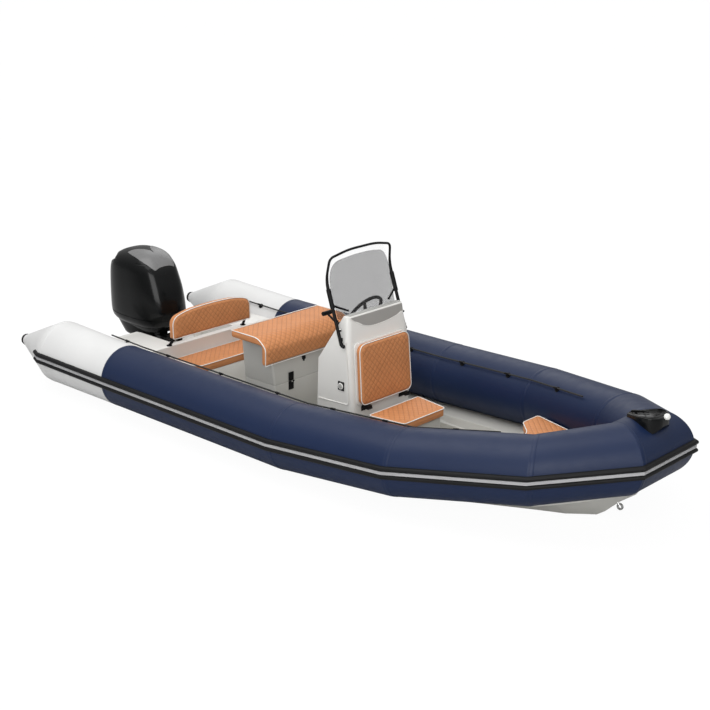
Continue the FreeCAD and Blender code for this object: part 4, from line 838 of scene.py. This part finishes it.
def hull_and_deck():
    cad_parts["hull"].data.materials[0] = FINISHES["gelcoat"]
    softened("cockpit_liner", "deck", 0.006, "seat_shell")
    softened("transom_board", "transom", 0.006, "moulding")
    softened("stern_shell", "stern_moulding", 0.014, "moulding", segments=4)
    softened("bow_locker_shell", "bow_locker", 0.008, "seat_shell")
    softened("front_seat_shell", "seat_base", 0.018, "seat_shell", segments=4)
    softened("post_foot", "post_base", 0.006, "seat_shell")
    softened("post_tipping_box", "post_box", 0.006, "seat_shell", "post_lid")
    softened("hatch_lid", "hatch_panel", 0.003, "moulding", "hatch")
    panels = []
    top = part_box("seat_base")[0].z
    for x0, x1, y0, y1 in ((3.03, 3.60, -0.44, 0.44), (1.80, 2.14, -0.33, 0.33), (0.90, 1.34, -0.52, 0.52),
                           (1.40, 2.98, 0.395, 0.545), (1.40, 2.98, -0.545, -0.395), (2.60, 2.98, 0.29, 0.38),
                           (2.60, 2.98, -0.38, -0.29)):
        outline = rounded([(x0, y0), (x1, y0), (x1, y1), (x0, y1)], 0.03, 5)
        panel = blank("panel", outline, 0.0022, 0.0006)
        panel.data.transform(Matrix.Translation((0, 0, top)))
        panels.append(panel)
    fit(smooth(joined("nonskid_panels", panels)), "nonskid")


# Console, helm and windscreen


def narrowed(piece):
    """The piece with its upper part drawn in and leaned aft, as the console's top is."""
    for vertex in piece.data.vertices:
        share = min(1.0, max(0.0, (vertex.co.z - 0.80) / 0.24))
        share = share * share * (3 - 2 * share)
        vertex.co.y *= 1 - 0.09 * share
        vertex.co.x -= 0.030 * share * min(1.0, max(0.0, (vertex.co.x - 2.42) / 0.08))
    return piece


def console_details():
    """The scoop under the console's brow, a flat grey patch painted darker as the shade of its hollow, its
    bead along the side, vent, dials and switches.
    """
    narrowed(softened("console_shell", "console", 0.012, "moulding", segments=4))
    low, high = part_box("console_cap")
    cap = block("console_top_pad", (low.x - 0.001, low.y, low.z),
                (high.x - 0.008, high.y, high.z - 0.007), 0.003, 4)
    fit(narrowed(cap), "cap", "boat", "console_cap")
    face_x = 2.5104
    top_z = 1.030
    rings = []
    rim = []
    for i in range(41):
        y = 0.318 * (i / 20 - 1)
        reach = 0.29 if y < -0.03 else 0.54
        drop = max(0.004, 0.101 * (1 - abs((y + 0.03) / reach) ** 2.1))
        rings.append([Vector((face_x, y, top_z)), Vector((face_x + 0.0018, y, top_z)),
                      Vector((face_x + 0.0018, y, top_z - drop)), Vector((face_x, y, top_z - drop))])
        rim.append((face_x + 0.001, y, top_z - drop))
    # The scoop is a flat patch just proud of the face; its darker grey paints the shade of the hollow under
    # the brow.
    fit(narrowed(smooth(skinned("console_scoop_shade", rings), 30)), "scoop_shade")
    fit(narrowed(bar("scoop_rim", rim, 0.003)), "moulding")
    beads = []
    for hand in (1, -1):
        y = 0.3405 * hand
        path = [(2.20, y, 0.352), (2.36, y, 0.360), (2.46, y, 0.364), (2.497, y, 0.366), (2.513, y, 0.378),
                (2.516, y, 0.41), (2.512, y, 0.50), (2.498, y, 0.66), (2.483, y, 0.83), (2.479, y, 0.86)]
        beads.append(bar("bead", path, 0.0045))
    fit(joined("console_side_beads", beads), "moulding")
    plate = block("vent_plate", (2.407, -0.3475, 0.468), (2.469, -0.3403, 0.538), 0.0035, 3)
    fit(plate, "plastic", "boat", "console_vent")
    fit(disc("vent_ring", (2.438, -0.3475, 0.503), (0, -1, 0), 0.0255, 0.004, 0.0015), "piping")
    fit(disc("vent_centre", (2.438, -0.3512, 0.503), (0, -1, 0), 0.0185, 0.0025, 0.001), "cap")
    dash_low = Vector((2.192, 0, 0.670))
    dash_top = Vector((2.425, 0, 1.040))
    up = (dash_top - dash_low).normalized()
    out = Vector((-up.z, 0, up.x))
    rims = []
    faces = []
    for y in (-0.06, -0.16):
        spot = dash_low + up * 0.335 + Vector((0, y, 0)) + out * 0.0004
        rims.append(disc("dial", spot, out, 0.038, 0.009, 0.002))
        faces.append(disc("face", spot + out * 0.009, out, 0.032, 0.0006, 0))
    plate = block("switches", (-0.045, -0.165, 0), (0.045, -0.03, 0.004), 0.0015, 2)
    keys = [block("key", (-0.028, y - 0.012, 0.004), (0.028, y + 0.012, 0.009), 0.002, 2)
            for y in (-0.145, -0.113, -0.082, -0.050)]
    axes = Matrix(((up.x, 0, out.x, 0), (0, 1, 0, 0), (up.z, 0, out.z, 0), (0, 0, 0, 1)))
    spot = dash_low + up * 0.235 + out * 0.0004
    for piece in [plate] + keys:
        piece.data.transform(Matrix.Translation(spot) @ axes)
    fit(smooth(joined("dash_fittings", rims + [plate] + keys)), "plastic")
    fit(joined("dash_faces", faces), "dial")


def windscreen():
    """The bent windscreen: a smoked sheet with a clear margin, its hoop, grips and stays, with a painted
    highlight on each of the hoop's pegs.
    """
    foot = Vector((2.4265, 0, 1.0410))
    lean = math.tan(math.radians(14.6))

    def sheet(name, corners, radii, thick, ahead):
        outline = rounded(corners, radii, 10)
        sheet_piece = blank(name, outline, thick, thick * 0.3)
        edit(sheet_piece, lambda face: abs(face.normal.z) > 0.9, "FACE")
        for k in range(1, 18):
            bpy.ops.mesh.select_all(action="SELECT")
            y = -0.36 + 0.04 * k
            bpy.ops.mesh.bisect(plane_co=(0, y, 0), plane_no=(0, 1, 0))
        close_edit()
        for vertex in sheet_piece.data.vertices:
            up, y, depth = vertex.co
            bend = 0.55 * y * y
            vertex.co = (foot.x - up * lean - bend + depth + ahead, y, foot.z + up)
        return smooth(sheet_piece, 40)

    tall = 0.426
    full = [(-0.042, -0.322), (0.0, -0.17), (0.0, 0.17), (-0.042, 0.322), (0.255, 0.346),
            (tall - 0.010, 0.318), (tall + 0.026, 0.12), (tall + 0.026, -0.12), (tall - 0.010, -0.318),
            (0.255, -0.346)]
    radii = [0.02, 0.05, 0.05, 0.02, 0.08, 0.05, 0.1, 0.1, 0.05, 0.08]
    fit(sheet("windscreen_clear", full, radii, 0.004, -0.002), "clear", "boat", "windscreen_glass")
    inner = [(-0.040, -0.320), (0.002, -0.17), (0.002, 0.17), (-0.040, 0.320), (0.255, 0.338),
             (tall - 0.045, 0.285), (tall - 0.010, 0.10), (tall - 0.010, -0.10), (tall - 0.045, -0.285),
             (0.255, -0.338)]
    radii = [0.02, 0.05, 0.05, 0.02, 0.10, 0.07, 0.1, 0.1, 0.07, 0.10]
    fit(sheet("windscreen_smoked", inner, radii, 0.0016, 0.0025), "smoke")
    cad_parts["hoop_stays"].data.materials[0] = FINISHES["plastic"]
    hoop = []
    grips = []
    peg_highlights = []
    half = [(2.453, 0.357, 0.829), (2.290, 0.353, 1.301), (2.310, 0.335, 1.465), (2.326, 0.150, 1.505)]
    corners = half + [(x, -y, z) for x, y, z in reversed(half)]
    route = rounded([Vector(corner) for corner in corners], [0, 0.07, 0.04, 0.08, 0.08, 0.04, 0.07, 0], 8)
    radii = [0.0095 + 0.0035 * min(1.0, max(0.0, (1.36 - point.z) / 0.12)) for point in route]
    hoop.append(bar("hoop", route, radii, 1, False, 6))
    for hand in (1, -1):
        a = Vector((2.453, 0.357 * hand, 0.829))
        b = Vector((2.290, 0.353 * hand, 1.301))
        grips.append(bar("grip", [a.lerp(b, 0.56), a.lerp(b, 0.71), a.lerp(b, 0.86)], 0.0178, 1))
        peg = a.lerp(b, 0.24)
        hoop.append(disc("peg", peg + Vector((0.008, 0, 0)), (1, 0, 0), 0.008, 0.024, 0.002, 24))
        # A small white disc on top of each black peg: a painted highlight.
        peg_highlights.append(disc("peg_highlight", peg + Vector((0.024, 0, 0.006)), (0, 0, 1), 0.007, 0.005, 0.002, 24))
        hoop.append(bar("brace", [(2.352, 0.352 * hand, 1.120), (2.372, 0.300 * hand, 1.092),
                                  (2.400, 0.225 * hand, 1.060)], 0.008))
        hoop.append(bar("foot", [a.lerp(b, 0.03), a + Vector((0.004, -0.001 * hand, -0.001)),
                                 a + Vector((0.014, -0.005 * hand, -0.008)),
                                 a + Vector((0.022, -0.013 * hand, -0.010))], 0.0138))
    fit(joined("hoop_bar", hoop), "black_metal", "boat", "windscreen_hoop")
    fit(joined("hoop_grips", grips), "rubber")
    fit(joined("hoop_peg_highlights", peg_highlights), "piping")


def helm():
    """The steering wheel: padded rim, three flat spokes and a hub with a cap."""
    centre = Vector((2.26313, 0.1, 0.94547))
    out = Vector((-0.846195, 0, 0.532874))
    up = Vector((0.532874, 0, 0.846195))
    turn = Matrix(((up.x, 0, out.x), (up.y, 1, out.y), (up.z, 0, out.z)))
    deselect()
    bpy.ops.mesh.primitive_torus_add(major_radius=0.165, minor_radius=0.0135, major_segments=96,
                                     minor_segments=20)
    rim = bpy.context.active_object
    for vertex in rim.data.vertices:
        angle = math.atan2(vertex.co.y, vertex.co.x)
        grip = 0.5 + 0.5 * math.cos(angle * 36)
        ring = Vector((math.cos(angle), math.sin(angle), 0)) * 0.165
        inner = vertex.co - ring
        below = max(0.0, inner.xy.dot(-ring.xy.normalized()))
        vertex.co = ring + inner * (1 - 0.08 * grip * below / 0.0135)
    pieces = [smooth(rim, 50)]
    for degrees in (90, 210, 330):
        angle = math.radians(degrees)
        spoke = block("spoke", (0.02, -0.016, -0.004), (0.158, 0.016, 0.003), 0.0028, 3)
        for vertex in spoke.data.vertices:
            share = (vertex.co.x - 0.02) / 0.138
            vertex.co.y *= 1.15 - 0.45 * share
            vertex.co.z -= 0.016 * (1 - share)
        spoke.data.transform(Matrix.Rotation(angle, 4, "Z"))
        pieces.append(spoke)
    pieces.append(disc("hub", (0, 0, -0.0198), (0, 0, 1), 0.034, 0.026, 0.004))
    pieces.append(disc("hub_cap", (0, 0, 0.004), (0, 0, 1), 0.028, 0.0085, 0.004))
    wheel = joined("helm_wheel_assembly", pieces)
    wheel.data.transform(Matrix.Translation(centre) @ turn.to_4x4())
    fit(wheel, "plastic", "helm", "steering_wheel")
    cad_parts["steering_column"].data.materials[0] = FINISHES["plastic"]
    foot = Vector((2.3576, -0.27, 0.9345))
    base = disc("lever_base", foot, out, 0.031, 0.012, 0.004)
    drum = disc("lever_drum", foot + out * 0.011, out, 0.026, 0.022, 0.008)
    head = foot + out * 0.024
    end = Vector((2.218, -0.27, 1.015))
    lever = bar("lever", [head, head.lerp(end, 0.4) + out * 0.004, end], 0.0085)
    grip = bar("grip", [end + Vector((0, y, 0)) for y in (-0.042, -0.03, 0.03, 0.042)], 0.017)
    fit(smooth(joined("throttle_control", [base, drum, lever, grip])), "plastic", "boat", "throttle")


# Hinges, brackets and small fittings


def leaf(name, low, high, rows):
    """A hinge leaf with its screw heads, facing forwards."""
    pieces = [block(name, low, high, 0.0018, 2)]
    for y in rows:
        for z in (low[2] + (high[2] - low[2]) * 0.3, low[2] + (high[2] - low[2]) * 0.75):
            pieces.append(disc("screw", (high[0] - 0.0002, y, z), (1, 0, 0), 0.0052, 0.0016, 0.0007, 20))
    return pieces


def hinges():
    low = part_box("post_hinges_fixed")[0]
    upper_low, upper_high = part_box("post_hinges_moving")
    fixed = []
    moving = []
    pins = []
    for hand in (1, -1):
        y0, y1 = 0.19 * hand - 0.028, 0.19 * hand + 0.028
        rows = (y0 + 0.013, y1 - 0.013)
        pins.append(disc("pin", (1.756, 0.19 * hand - 0.007, 0.335), (0, 1, 0), 0.0048, 0.014, 0.001, 24))
        fixed += leaf("leaf", (low.x, y0, low.z), (low.x + 0.0045, y1, 0.331), rows)
        for a, b in ((y0, y0 + 0.014), (y1 - 0.014, y1), (y0 + 0.0165, y1 - 0.0165)):
            fixed.append(disc("knuckle", (1.753, a, 0.335), (0, 1, 0), 0.006, b - a, 0.001, 24))
        moving += leaf("leaf", (low.x, y0, upper_low.z), (low.x + 0.0045, y1, upper_high.z), rows)
    fit(smooth(joined("post_hinge_lower", fixed)), "plastic", "boat", "post_hinges_fixed")
    fit(smooth(joined("post_hinge_upper", moving)), "plastic", "post_lid", "post_hinges_moving")
    fit(smooth(joined("post_hinge_pins", pins)), "steel")
    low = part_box("hatch_hinges")[0]
    pieces = []
    arms = []
    for hand in (1, -1):
        arms.append(block("cover", (2.5495, 0.215 * hand - 0.0245, 0.3412),
                          (2.6195, 0.215 * hand + 0.0245, 0.3580), 0.002, 2))
        y0, y1 = 0.215 * hand - 0.023, 0.215 * hand + 0.023
        pieces += leaf("leaf", (low.x, y0, low.z), (low.x + 0.0055, y1, 0.336), (y0 + 0.012, y1 - 0.012))
        pieces.append(block("arm", (low.x + 0.002, y0, 0.3285), (2.614, y1, 0.3405), 0.0022, 2))
        for a, b in ((y0, y0 + 0.014), (y1 - 0.014, y1), (y0 + 0.0165, y1 - 0.0165)):
            pieces.append(disc("knuckle", (2.618, a, 0.335), (0, 1, 0), 0.0072, b - a, 0.001, 24))
    fit(smooth(joined("hatch_hinge_leaves", pieces)), "plastic", "boat", "hatch_hinges")
    fit(smooth(joined("hatch_hinge_covers", arms)), "plastic", "hatch")
    latch = [block("catch", (1.722, -0.046, 0.478), (1.738, -0.014, 0.505), 0.003, 3),
             block("tongue", (1.726, -0.038, 0.462), (1.734, -0.022, 0.482), 0.002, 2)]
    fit(smooth(joined("post_latch", latch)), "plastic", "post_lid")
    brackets = []
    for hand in (1, -1):
        path = [(0.572, 0.398 * hand, 0.520), (0.568, 0.400 * hand, 0.482), (0.560, 0.403 * hand, 0.455),
                (0.536, 0.412 * hand, 0.427), (0.524, 0.418 * hand, 0.409)]
        brackets.append(bar("bracket", path, 0.0116))
        brackets.append(disc("bracket_foot", (0.524, 0.418 * hand, 0.4055), (0, 0, 1), 0.024, 0.006, 0.002))
    fit(smooth(joined("backrest_posts", brackets)), "black_metal", "boat", "backrest_brackets")


def rope_and_clips():
    for name in ("grab_line_port", "grab_line_starboard"):
        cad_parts[name].data.materials[0] = FINISHES["rope"]
    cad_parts["line_clips"].data.materials[0] = FINISHES["plastic"]
    softened("tube_lugs", "tube_fittings", 0.003, "rubber")
    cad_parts["bow_eye"].data.materials[0] = FINISHES["steel"]
    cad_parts["stern_eyes"].data.materials[0] = FINISHES["steel"]


def bow_fitting():
    """The black saddle on the bow: body, a ridge round its top, a cleat's bar, screws and the lamp."""
    low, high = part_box("bow_fitting")

    def on_top(x, y, below=0.0):
        return Vector((x, y, 0.798 + 0.042 * min(1.0, (x - 4.712) / 0.180) - below))

    def skirt(x, y):
        ahead = min(1.0, max(0.0, x - (high.x - 0.095)) / 0.075)
        return Vector((x, y, high.z - 0.040 - 0.074 * math.sqrt(1 - ahead ** 2)))

    front = high.x - 0.024
    plan = rounded([(low.x, -0.020), (4.805, -0.082), (4.885, low.y), (4.945, low.y + 0.006), (front, -0.060),
                    (front, 0.060), (4.945, high.y - 0.006), (4.885, high.y), (4.805, 0.082), (low.x, 0.020)],
                   [0.02, 0.05, 0.04, 0.05, 0.05, 0.05, 0.05, 0.04, 0.05, 0.02], 8)
    plan = [Vector((point[0], point[1])) for point in plan]
    rings = [[skirt(*point) for point in plan]]
    for below, inset in ((0.012, 0.0), (0.004, 0.002), (0.0, 0.008)):
        rings.append([on_top(*point, below) for point in shrunk(plan, inset)])
    fit(smooth(skinned("bow_saddle", rings), 40), "gloss", "boat", "bow_fitting")

    outline = rounded([(4.722, -0.012), (4.805, -0.070), (4.885, -0.104), (4.938, -0.100), (4.966, -0.052),
                       (4.966, 0.052), (4.938, 0.100), (4.885, 0.104), (4.805, 0.070), (4.722, 0.012)],
                      0.03, 6)
    parts = [bar("ridge", [on_top(x, y) for x, y in outline], 0.0026, 1, True)]
    parts.append(bar("cleat", [(4.738, 0, 0.812), (4.750, 0, 0.8185), (4.800, 0, 0.829), (4.850, 0, 0.8395),
                               (4.864, 0, 0.838)], 0.0062))
    for x in (4.772, 4.828):
        parts.append(disc("cleat_foot", on_top(x, 0), (0, 0, 1), 0.008, 0.016, 0.001, 24))
    for x, y in ((4.885, 0.070), (4.885, -0.070), (4.940, 0.050), (4.940, -0.050)):
        parts.append(disc("screw", on_top(x, y), (0, 0, 1), 0.0058, 0.0016, 0.0008, 20))
    for x in (4.905, 4.920, 4.935):
        parts.append(bar("rib", [on_top(x, -0.03), on_top(x, 0.03)], 0.002, 1))
    fit(smooth(joined("bow_saddle_fittings", parts)), "gloss")
    lamp_low, lamp_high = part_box("nav_light")
    centre = (lamp_low + lamp_high) / 2
    deselect()
    bpy.ops.mesh.primitive_uv_sphere_add(segments=48, ring_count=24, radius=0.022, location=centre)
    lamp = settle(bpy.context.active_object)
    lamp.name = "bow_lamp"
    fit(smooth(lamp, 60), "lens", "boat", "nav_light")


# Outboard motor

COWL_Z = (0.375, 1.034)
COWL = [
    (0.000, -0.585, 0.065, 0.190), (0.045, -0.622, 0.098, 0.218), (0.115, -0.638, 0.115, 0.234),
    (0.220, -0.643, 0.123, 0.240), (0.480, -0.640, 0.087, 0.239), (0.705, -0.633, 0.028, 0.228),
    (0.800, -0.613, -0.005, 0.219), (0.890, -0.563, -0.060, 0.195), (0.950, -0.500, -0.120, 0.160),
    (0.987, -0.430, -0.200, 0.110), (1.000, -0.363, -0.270, 0.060),
]


def cowl_size(share):
    """Rear, front and half width of the cowl at a share of its height, along a smooth curve."""
    rows = COWL
    for i in range(len(rows) - 1):
        if share <= rows[i + 1][0] + 1e-9:
            break
    p1, p2 = rows[i], rows[i + 1]
    p0 = rows[max(i - 1, 0)]
    p3 = rows[min(i + 2, len(rows) - 1)]
    width = p2[0] - p1[0]
    t = (share - p1[0]) / width
    result = []
    for k in (1, 2, 3):
        slope1 = (p2[k] - p0[k]) / max(p2[0] - p0[0], 1e-6) * width
        slope2 = (p3[k] - p1[k]) / max(p3[0] - p1[0], 1e-6) * width
        if abs(p2[k] - p1[k]) < 1e-6:
            slope1 = slope2 = 0
        value = ((2 * t ** 3 - 3 * t ** 2 + 1) * p1[k] + (t ** 3 - 2 * t ** 2 + t) * slope1
                 + (-2 * t ** 3 + 3 * t ** 2) * p2[k] + (t ** 3 - t ** 2) * slope2)
        result.append(value)
    return result


def cowl_point(share, turn, proud=0.0):
    """A point on the cowl: share of its height, and the turn round it from the bow side."""
    low, high = COWL_Z
    rear, front, wide = cowl_size(share)
    power = 2 / 2.6
    c = math.cos(turn)
    s = math.sin(turn)
    half = (front - rear) / 2 + proud
    x = (rear + front) / 2 + half * math.copysign(abs(c) ** power, c)
    y = (wide + proud) * math.copysign(abs(s) ** power, s)
    return Vector((x, y, low + (high - low) * share))


def on_cowl(x, y, proud=0.0022):
    """The point on the cowl's upper surface at a place in plan."""
    low, high = COWL_Z
    inside, outside = 0.3, 1.0
    for _ in range(24):
        share = (inside + outside) / 2
        rear, front, wide = cowl_size(share)
        reach = abs((2 * x - rear - front) / (front - rear)) ** 2.6 + abs(y / wide) ** 2.6
        if reach <= 1:
            inside = share
        else:
            outside = share
    return Vector((x + proud * 0.4, y, low + (high - low) * inside + proud))


COWL_PANEL = [(-0.335, 0.148, 0.146), (-0.300, 0.156, 0.080), (-0.250, 0.163, 0.035), (-0.200, 0.164, 0.012),
              (-0.150, 0.162, 0.0), (-0.100, 0.150, 0.0), (-0.050, 0.129, 0.0), (-0.020, 0.110, 0.0),
              (-0.012, 0.095, 0.0)]
APRON = [(0.262, -0.490, -0.150, 0.150), (0.270, -0.500, -0.142, 0.156), (0.300, -0.520, -0.136, 0.164),
         (0.340, -0.550, -0.128, 0.174), (0.378, -0.576, -0.120, 0.184)]


def motor():
    """The cowl with its seams, handle recess and grey panel, and the leg, bracket and propeller."""
    shares = [0, 0.01, 0.03, 0.06, 0.09, 0.118, 0.121, 0.124, 0.133, 0.136, 0.139]
    shares += [0.139 + (0.845 - 0.139) * i / 26 for i in range(1, 27)]
    shares += [0.848, 0.851, 0.858, 0.861, 0.864, 0.88, 0.90, 0.92, 0.935, 0.95, 0.962, 0.973, 0.982, 0.989,
               0.994, 0.998, 1.0]
    sides = 120
    rings = []
    for share in shares:
        ring = []
        for i in range(sides):
            turn = 2 * math.pi * i / sides
            aft = max(0.0, -math.cos(turn))
            depth = 0.0
            if 0.1225 < share < 0.135:
                depth = -0.004
            if 0.8495 < share < 0.8625 and abs(math.sin(turn)) < 0.9:
                depth = -0.003
            notch = min(1.0, max(0.0, (share - 0.795) / 0.012)) * max(0.0, 1 - max(0.0, share - 0.81) / 0.10)
            depth -= 0.058 * notch * min(1.0, max(0.0, aft - 0.55) / 0.2)
            ring.append(cowl_point(share, turn, depth))
        rings.append(ring)
    top = rings[-1]
    middle = sum(top, Vector()) / sides
    for shrink, rise in ((0.75, 0.0012), (0.5, 0.002), (0.25, 0.0024), (0.04, 0.0026)):
        rings.append([middle.lerp(point, shrink) + Vector((0, 0, rise)) for point in top])
    fit(smooth(skinned("cowl_shell", rings), 50), "gloss", "motor", "cowl")
    rings = []
    for z, rear, front, wide in APRON:
        ring = []
        for i in range(72):
            turn = 2 * math.pi * i / 72
            c = math.copysign(abs(math.cos(turn)) ** 0.77, math.cos(turn))
            s = math.copysign(abs(math.sin(turn)) ** 0.77, math.sin(turn))
            ring.append(Vector(((rear + front) / 2 + (front - rear) / 2 * c, wide * s, z)))
        rings.append(ring)
    fit(smooth(skinned("cowl_apron", rings), 50), "gloss", "motor")
    sides = []
    for hand in (1, -1):
        patch = []
        for (x0, outer0, inner0), (x1, outer1, inner1) in zip(COWL_PANEL, COWL_PANEL[1:]):
            for step in range(4):
                t = step / 4
                x = x0 + (x1 - x0) * t
                outer = outer0 + (outer1 - outer0) * t
                inner = inner0 + (inner1 - inner0) * t
                patch.append([on_cowl(x, (inner + (outer - inner) * j / 10) * hand) for j in range(11)])
        sides.append(skinned("half", patch, False, False))
    panel = joined("cowl_top_panel", sides)
    edit(panel)
    bpy.ops.mesh.select_all(action="SELECT")
    bpy.ops.mesh.remove_doubles(threshold=0.0002)
    bpy.ops.mesh.normals_make_consistent(inside=False)
    close_edit()
    fit(smooth(walled(panel, 0.003), 40), "cowl_grey", "motor")
    softened("motor_leg", "midsection", 0.008, "gloss", "motor", 3, 40)
    softened("motor_gearcase", "gearcase", 0.0015, "gloss", "motor", 2, 50)
    softened("transom_clamp", "clamp_bracket", 0.006, "gloss", "boat", 3, 40)
    softened("tilt_bracket", "swivel_bracket", 0.004, "gloss", "swivel", 3, 50)
    propeller()


def propeller():
    """Three swept blades with rounded tips on a tapered hub."""
    centre = Vector((-0.520, 0, -0.505))
    pieces = []
    for k in range(3):
        rows = []
        for i in range(11):
            share = i / 10
            radius = 0.040 + 0.120 * share
            chord = 0.050 + 0.062 * math.sin(math.pi * min(1.0, 0.16 + share * 0.80)) ** 0.9
            chord *= max(0.25, 1 - max(0.0, share - 0.82) * 3.6)
            pitch = math.radians(58 - 34 * share)
            row = []
            for j in range(9):
                across = (j / 8 - 0.5) * chord
                camber = 0.004 * (1 - (2 * j / 8 - 1) ** 2)
                x = across * math.sin(pitch) * 0.75 + camber + 0.012 * share
                side = across * math.cos(pitch) + 0.02 * share ** 2
                row.append(Vector((x, side, math.sqrt(max(radius ** 2 - side ** 2, 1e-5)))))
            rows.append(row)
        blade = walled(skinned("blade", rows, False, False), 0.0042)
        blade.data.transform(Matrix.Translation(centre) @ Matrix.Rotation(math.radians(120 * k), 4, "X"))
        pieces.append(smooth(blade, 50))
    hub_points = [(0.055, 0.040), (0.052, 0.044), (0.03, 0.0465), (0.0, 0.047), (-0.04, 0.0445),
                  (-0.052, 0.040), (-0.055, 0.034), (-0.050, 0.031), (-0.046, 0.014), (-0.054, 0.013)]
    rings = []
    turns = [2 * math.pi * i / 48 for i in range(48)]
    for x, rad in hub_points:
        rings.append([centre + Vector((x, rad * math.cos(turn), rad * math.sin(turn))) for turn in turns])
    pieces.append(smooth(skinned("hub", rings), 40))
    fit(joined("propeller_wheel", pieces), "prop", "prop", "propeller")


# Stage


SKY = (0.32, 1.0)


def seen(tree):
    """1 for the rays that show the white backdrop to the camera, also through glass."""
    rays = tree.nodes.new("ShaderNodeLightPath")
    return sums(tree, "MAXIMUM", rays.outputs["Is Camera Ray"], rays.outputs["Is Transmission Ray"])


def stage():
    world = bpy.data.worlds.new("studio")
    bpy.context.scene.world = world
    world.use_nodes = True
    tree = world.node_tree
    back = tree.nodes["Background"]
    back.inputs["Color"].default_value = (1, 1, 1, 1)
    place = tree.nodes.new("ShaderNodeTexCoord")
    parts = tree.nodes.new("ShaderNodeSeparateXYZ")
    tree.links.new(place.outputs["Generated"], parts.inputs["Vector"])
    sky = tree.nodes.new("ShaderNodeMapRange")
    sky.interpolation_type = "SMOOTHSTEP"
    sky.inputs["From Min"].default_value = 0.05
    sky.inputs["From Max"].default_value = 0.95
    sky.inputs["To Min"].default_value = SKY[0]
    sky.inputs["To Max"].default_value = SKY[1]
    tree.links.new(parts.outputs["Z"], sky.inputs["Value"])
    lit = sums(tree, "MULTIPLY", sky.outputs["Result"], sums(tree, "SUBTRACT", 1.0, seen(tree)))
    tree.links.new(sums(tree, "ADD", seen(tree), lit), back.inputs["Strength"])
    material = bpy.data.materials.new("pale_floor")
    material.use_nodes = True
    tree = material.node_tree
    shader = tree.nodes["Principled BSDF"]
    shader.inputs["Base Color"].default_value = (0.55, 0.55, 0.55, 1)
    shader.inputs["Roughness"].default_value = 0.9
    shader.inputs["Specular IOR Level"].default_value = 0.1
    glow = tree.nodes.new("ShaderNodeEmission")
    glow.inputs["Color"].default_value = (1, 1, 1, 1)
    glow.inputs["Strength"].default_value = 1.08
    blend = tree.nodes.new("ShaderNodeMixShader")
    tree.links.new(sums(tree, "MULTIPLY", seen(tree), 0.88), blend.inputs[0])
    tree.links.new(shader.outputs[0], blend.inputs[1])
    tree.links.new(glow.outputs[0], blend.inputs[2])
    tree.links.new(blend.outputs[0], tree.nodes["Material Output"].inputs["Surface"])
    deselect()
    bpy.ops.mesh.primitive_plane_add(size=400, location=(2, 0, 0))
    floor = bpy.context.active_object
    floor.name = "floor"
    floor.data.materials.append(material)
    lamps = (("key", (1.5, -2.0, 7.5), 6.0, 260), ("fill", (7.4, -7.3, 3.6), 5.0, 370),
             ("rim", (-3.0, 6.0, 5.0), 5.0, 80))
    for name, place, size, power in lamps:
        lamp = bpy.data.lights.new(name, "AREA")
        lamp.size = size
        lamp.energy = power
        light = bpy.data.objects.new(name, lamp)
        light.location = place
        light.rotation_mode = "QUATERNION"
        light.rotation_quaternion = (Vector(place) - Vector((2.2, 0, 0.4))).to_track_quat("Z", "Y")
        bpy.context.collection.objects.link(light)


def camera():
    """The photograph's camera."""
    yaw = math.radians(42.8)
    pitch = math.radians(18.374)
    roll = math.radians(0.4385)
    back = Vector((math.sin(yaw) * math.cos(pitch), -math.cos(yaw) * math.cos(pitch), math.sin(pitch)))
    right = Vector((0, 0, 1)).cross(back).normalized()
    up = back.cross(right)
    right_rolled = right * math.cos(roll) + up * math.sin(roll)
    up_rolled = up * math.cos(roll) - right * math.sin(roll)
    lens = bpy.data.cameras.new("camera")
    lens.sensor_width = 36
    lens.lens = 36 * 1394.5 / 710
    lens.clip_end = 500
    view = bpy.data.objects.new("camera", lens)
    view.matrix_world = Matrix((
        (right_rolled.x, up_rolled.x, back.x, 9.23), (right_rolled.y, up_rolled.y, back.y, -7.5257),
        (right_rolled.z, up_rolled.z, back.z, 4.0325), (0, 0, 0, 1)))
    bpy.context.collection.objects.link(view)
    bpy.context.scene.camera = view


bpy.context.scene.view_settings.view_transform = "Standard"
camera()
stage()
collar()
strake()
hull_and_deck()
seats()
console_details()
windscreen()
helm()
hinges()
rope_and_clips()
bow_fitting()
motor()
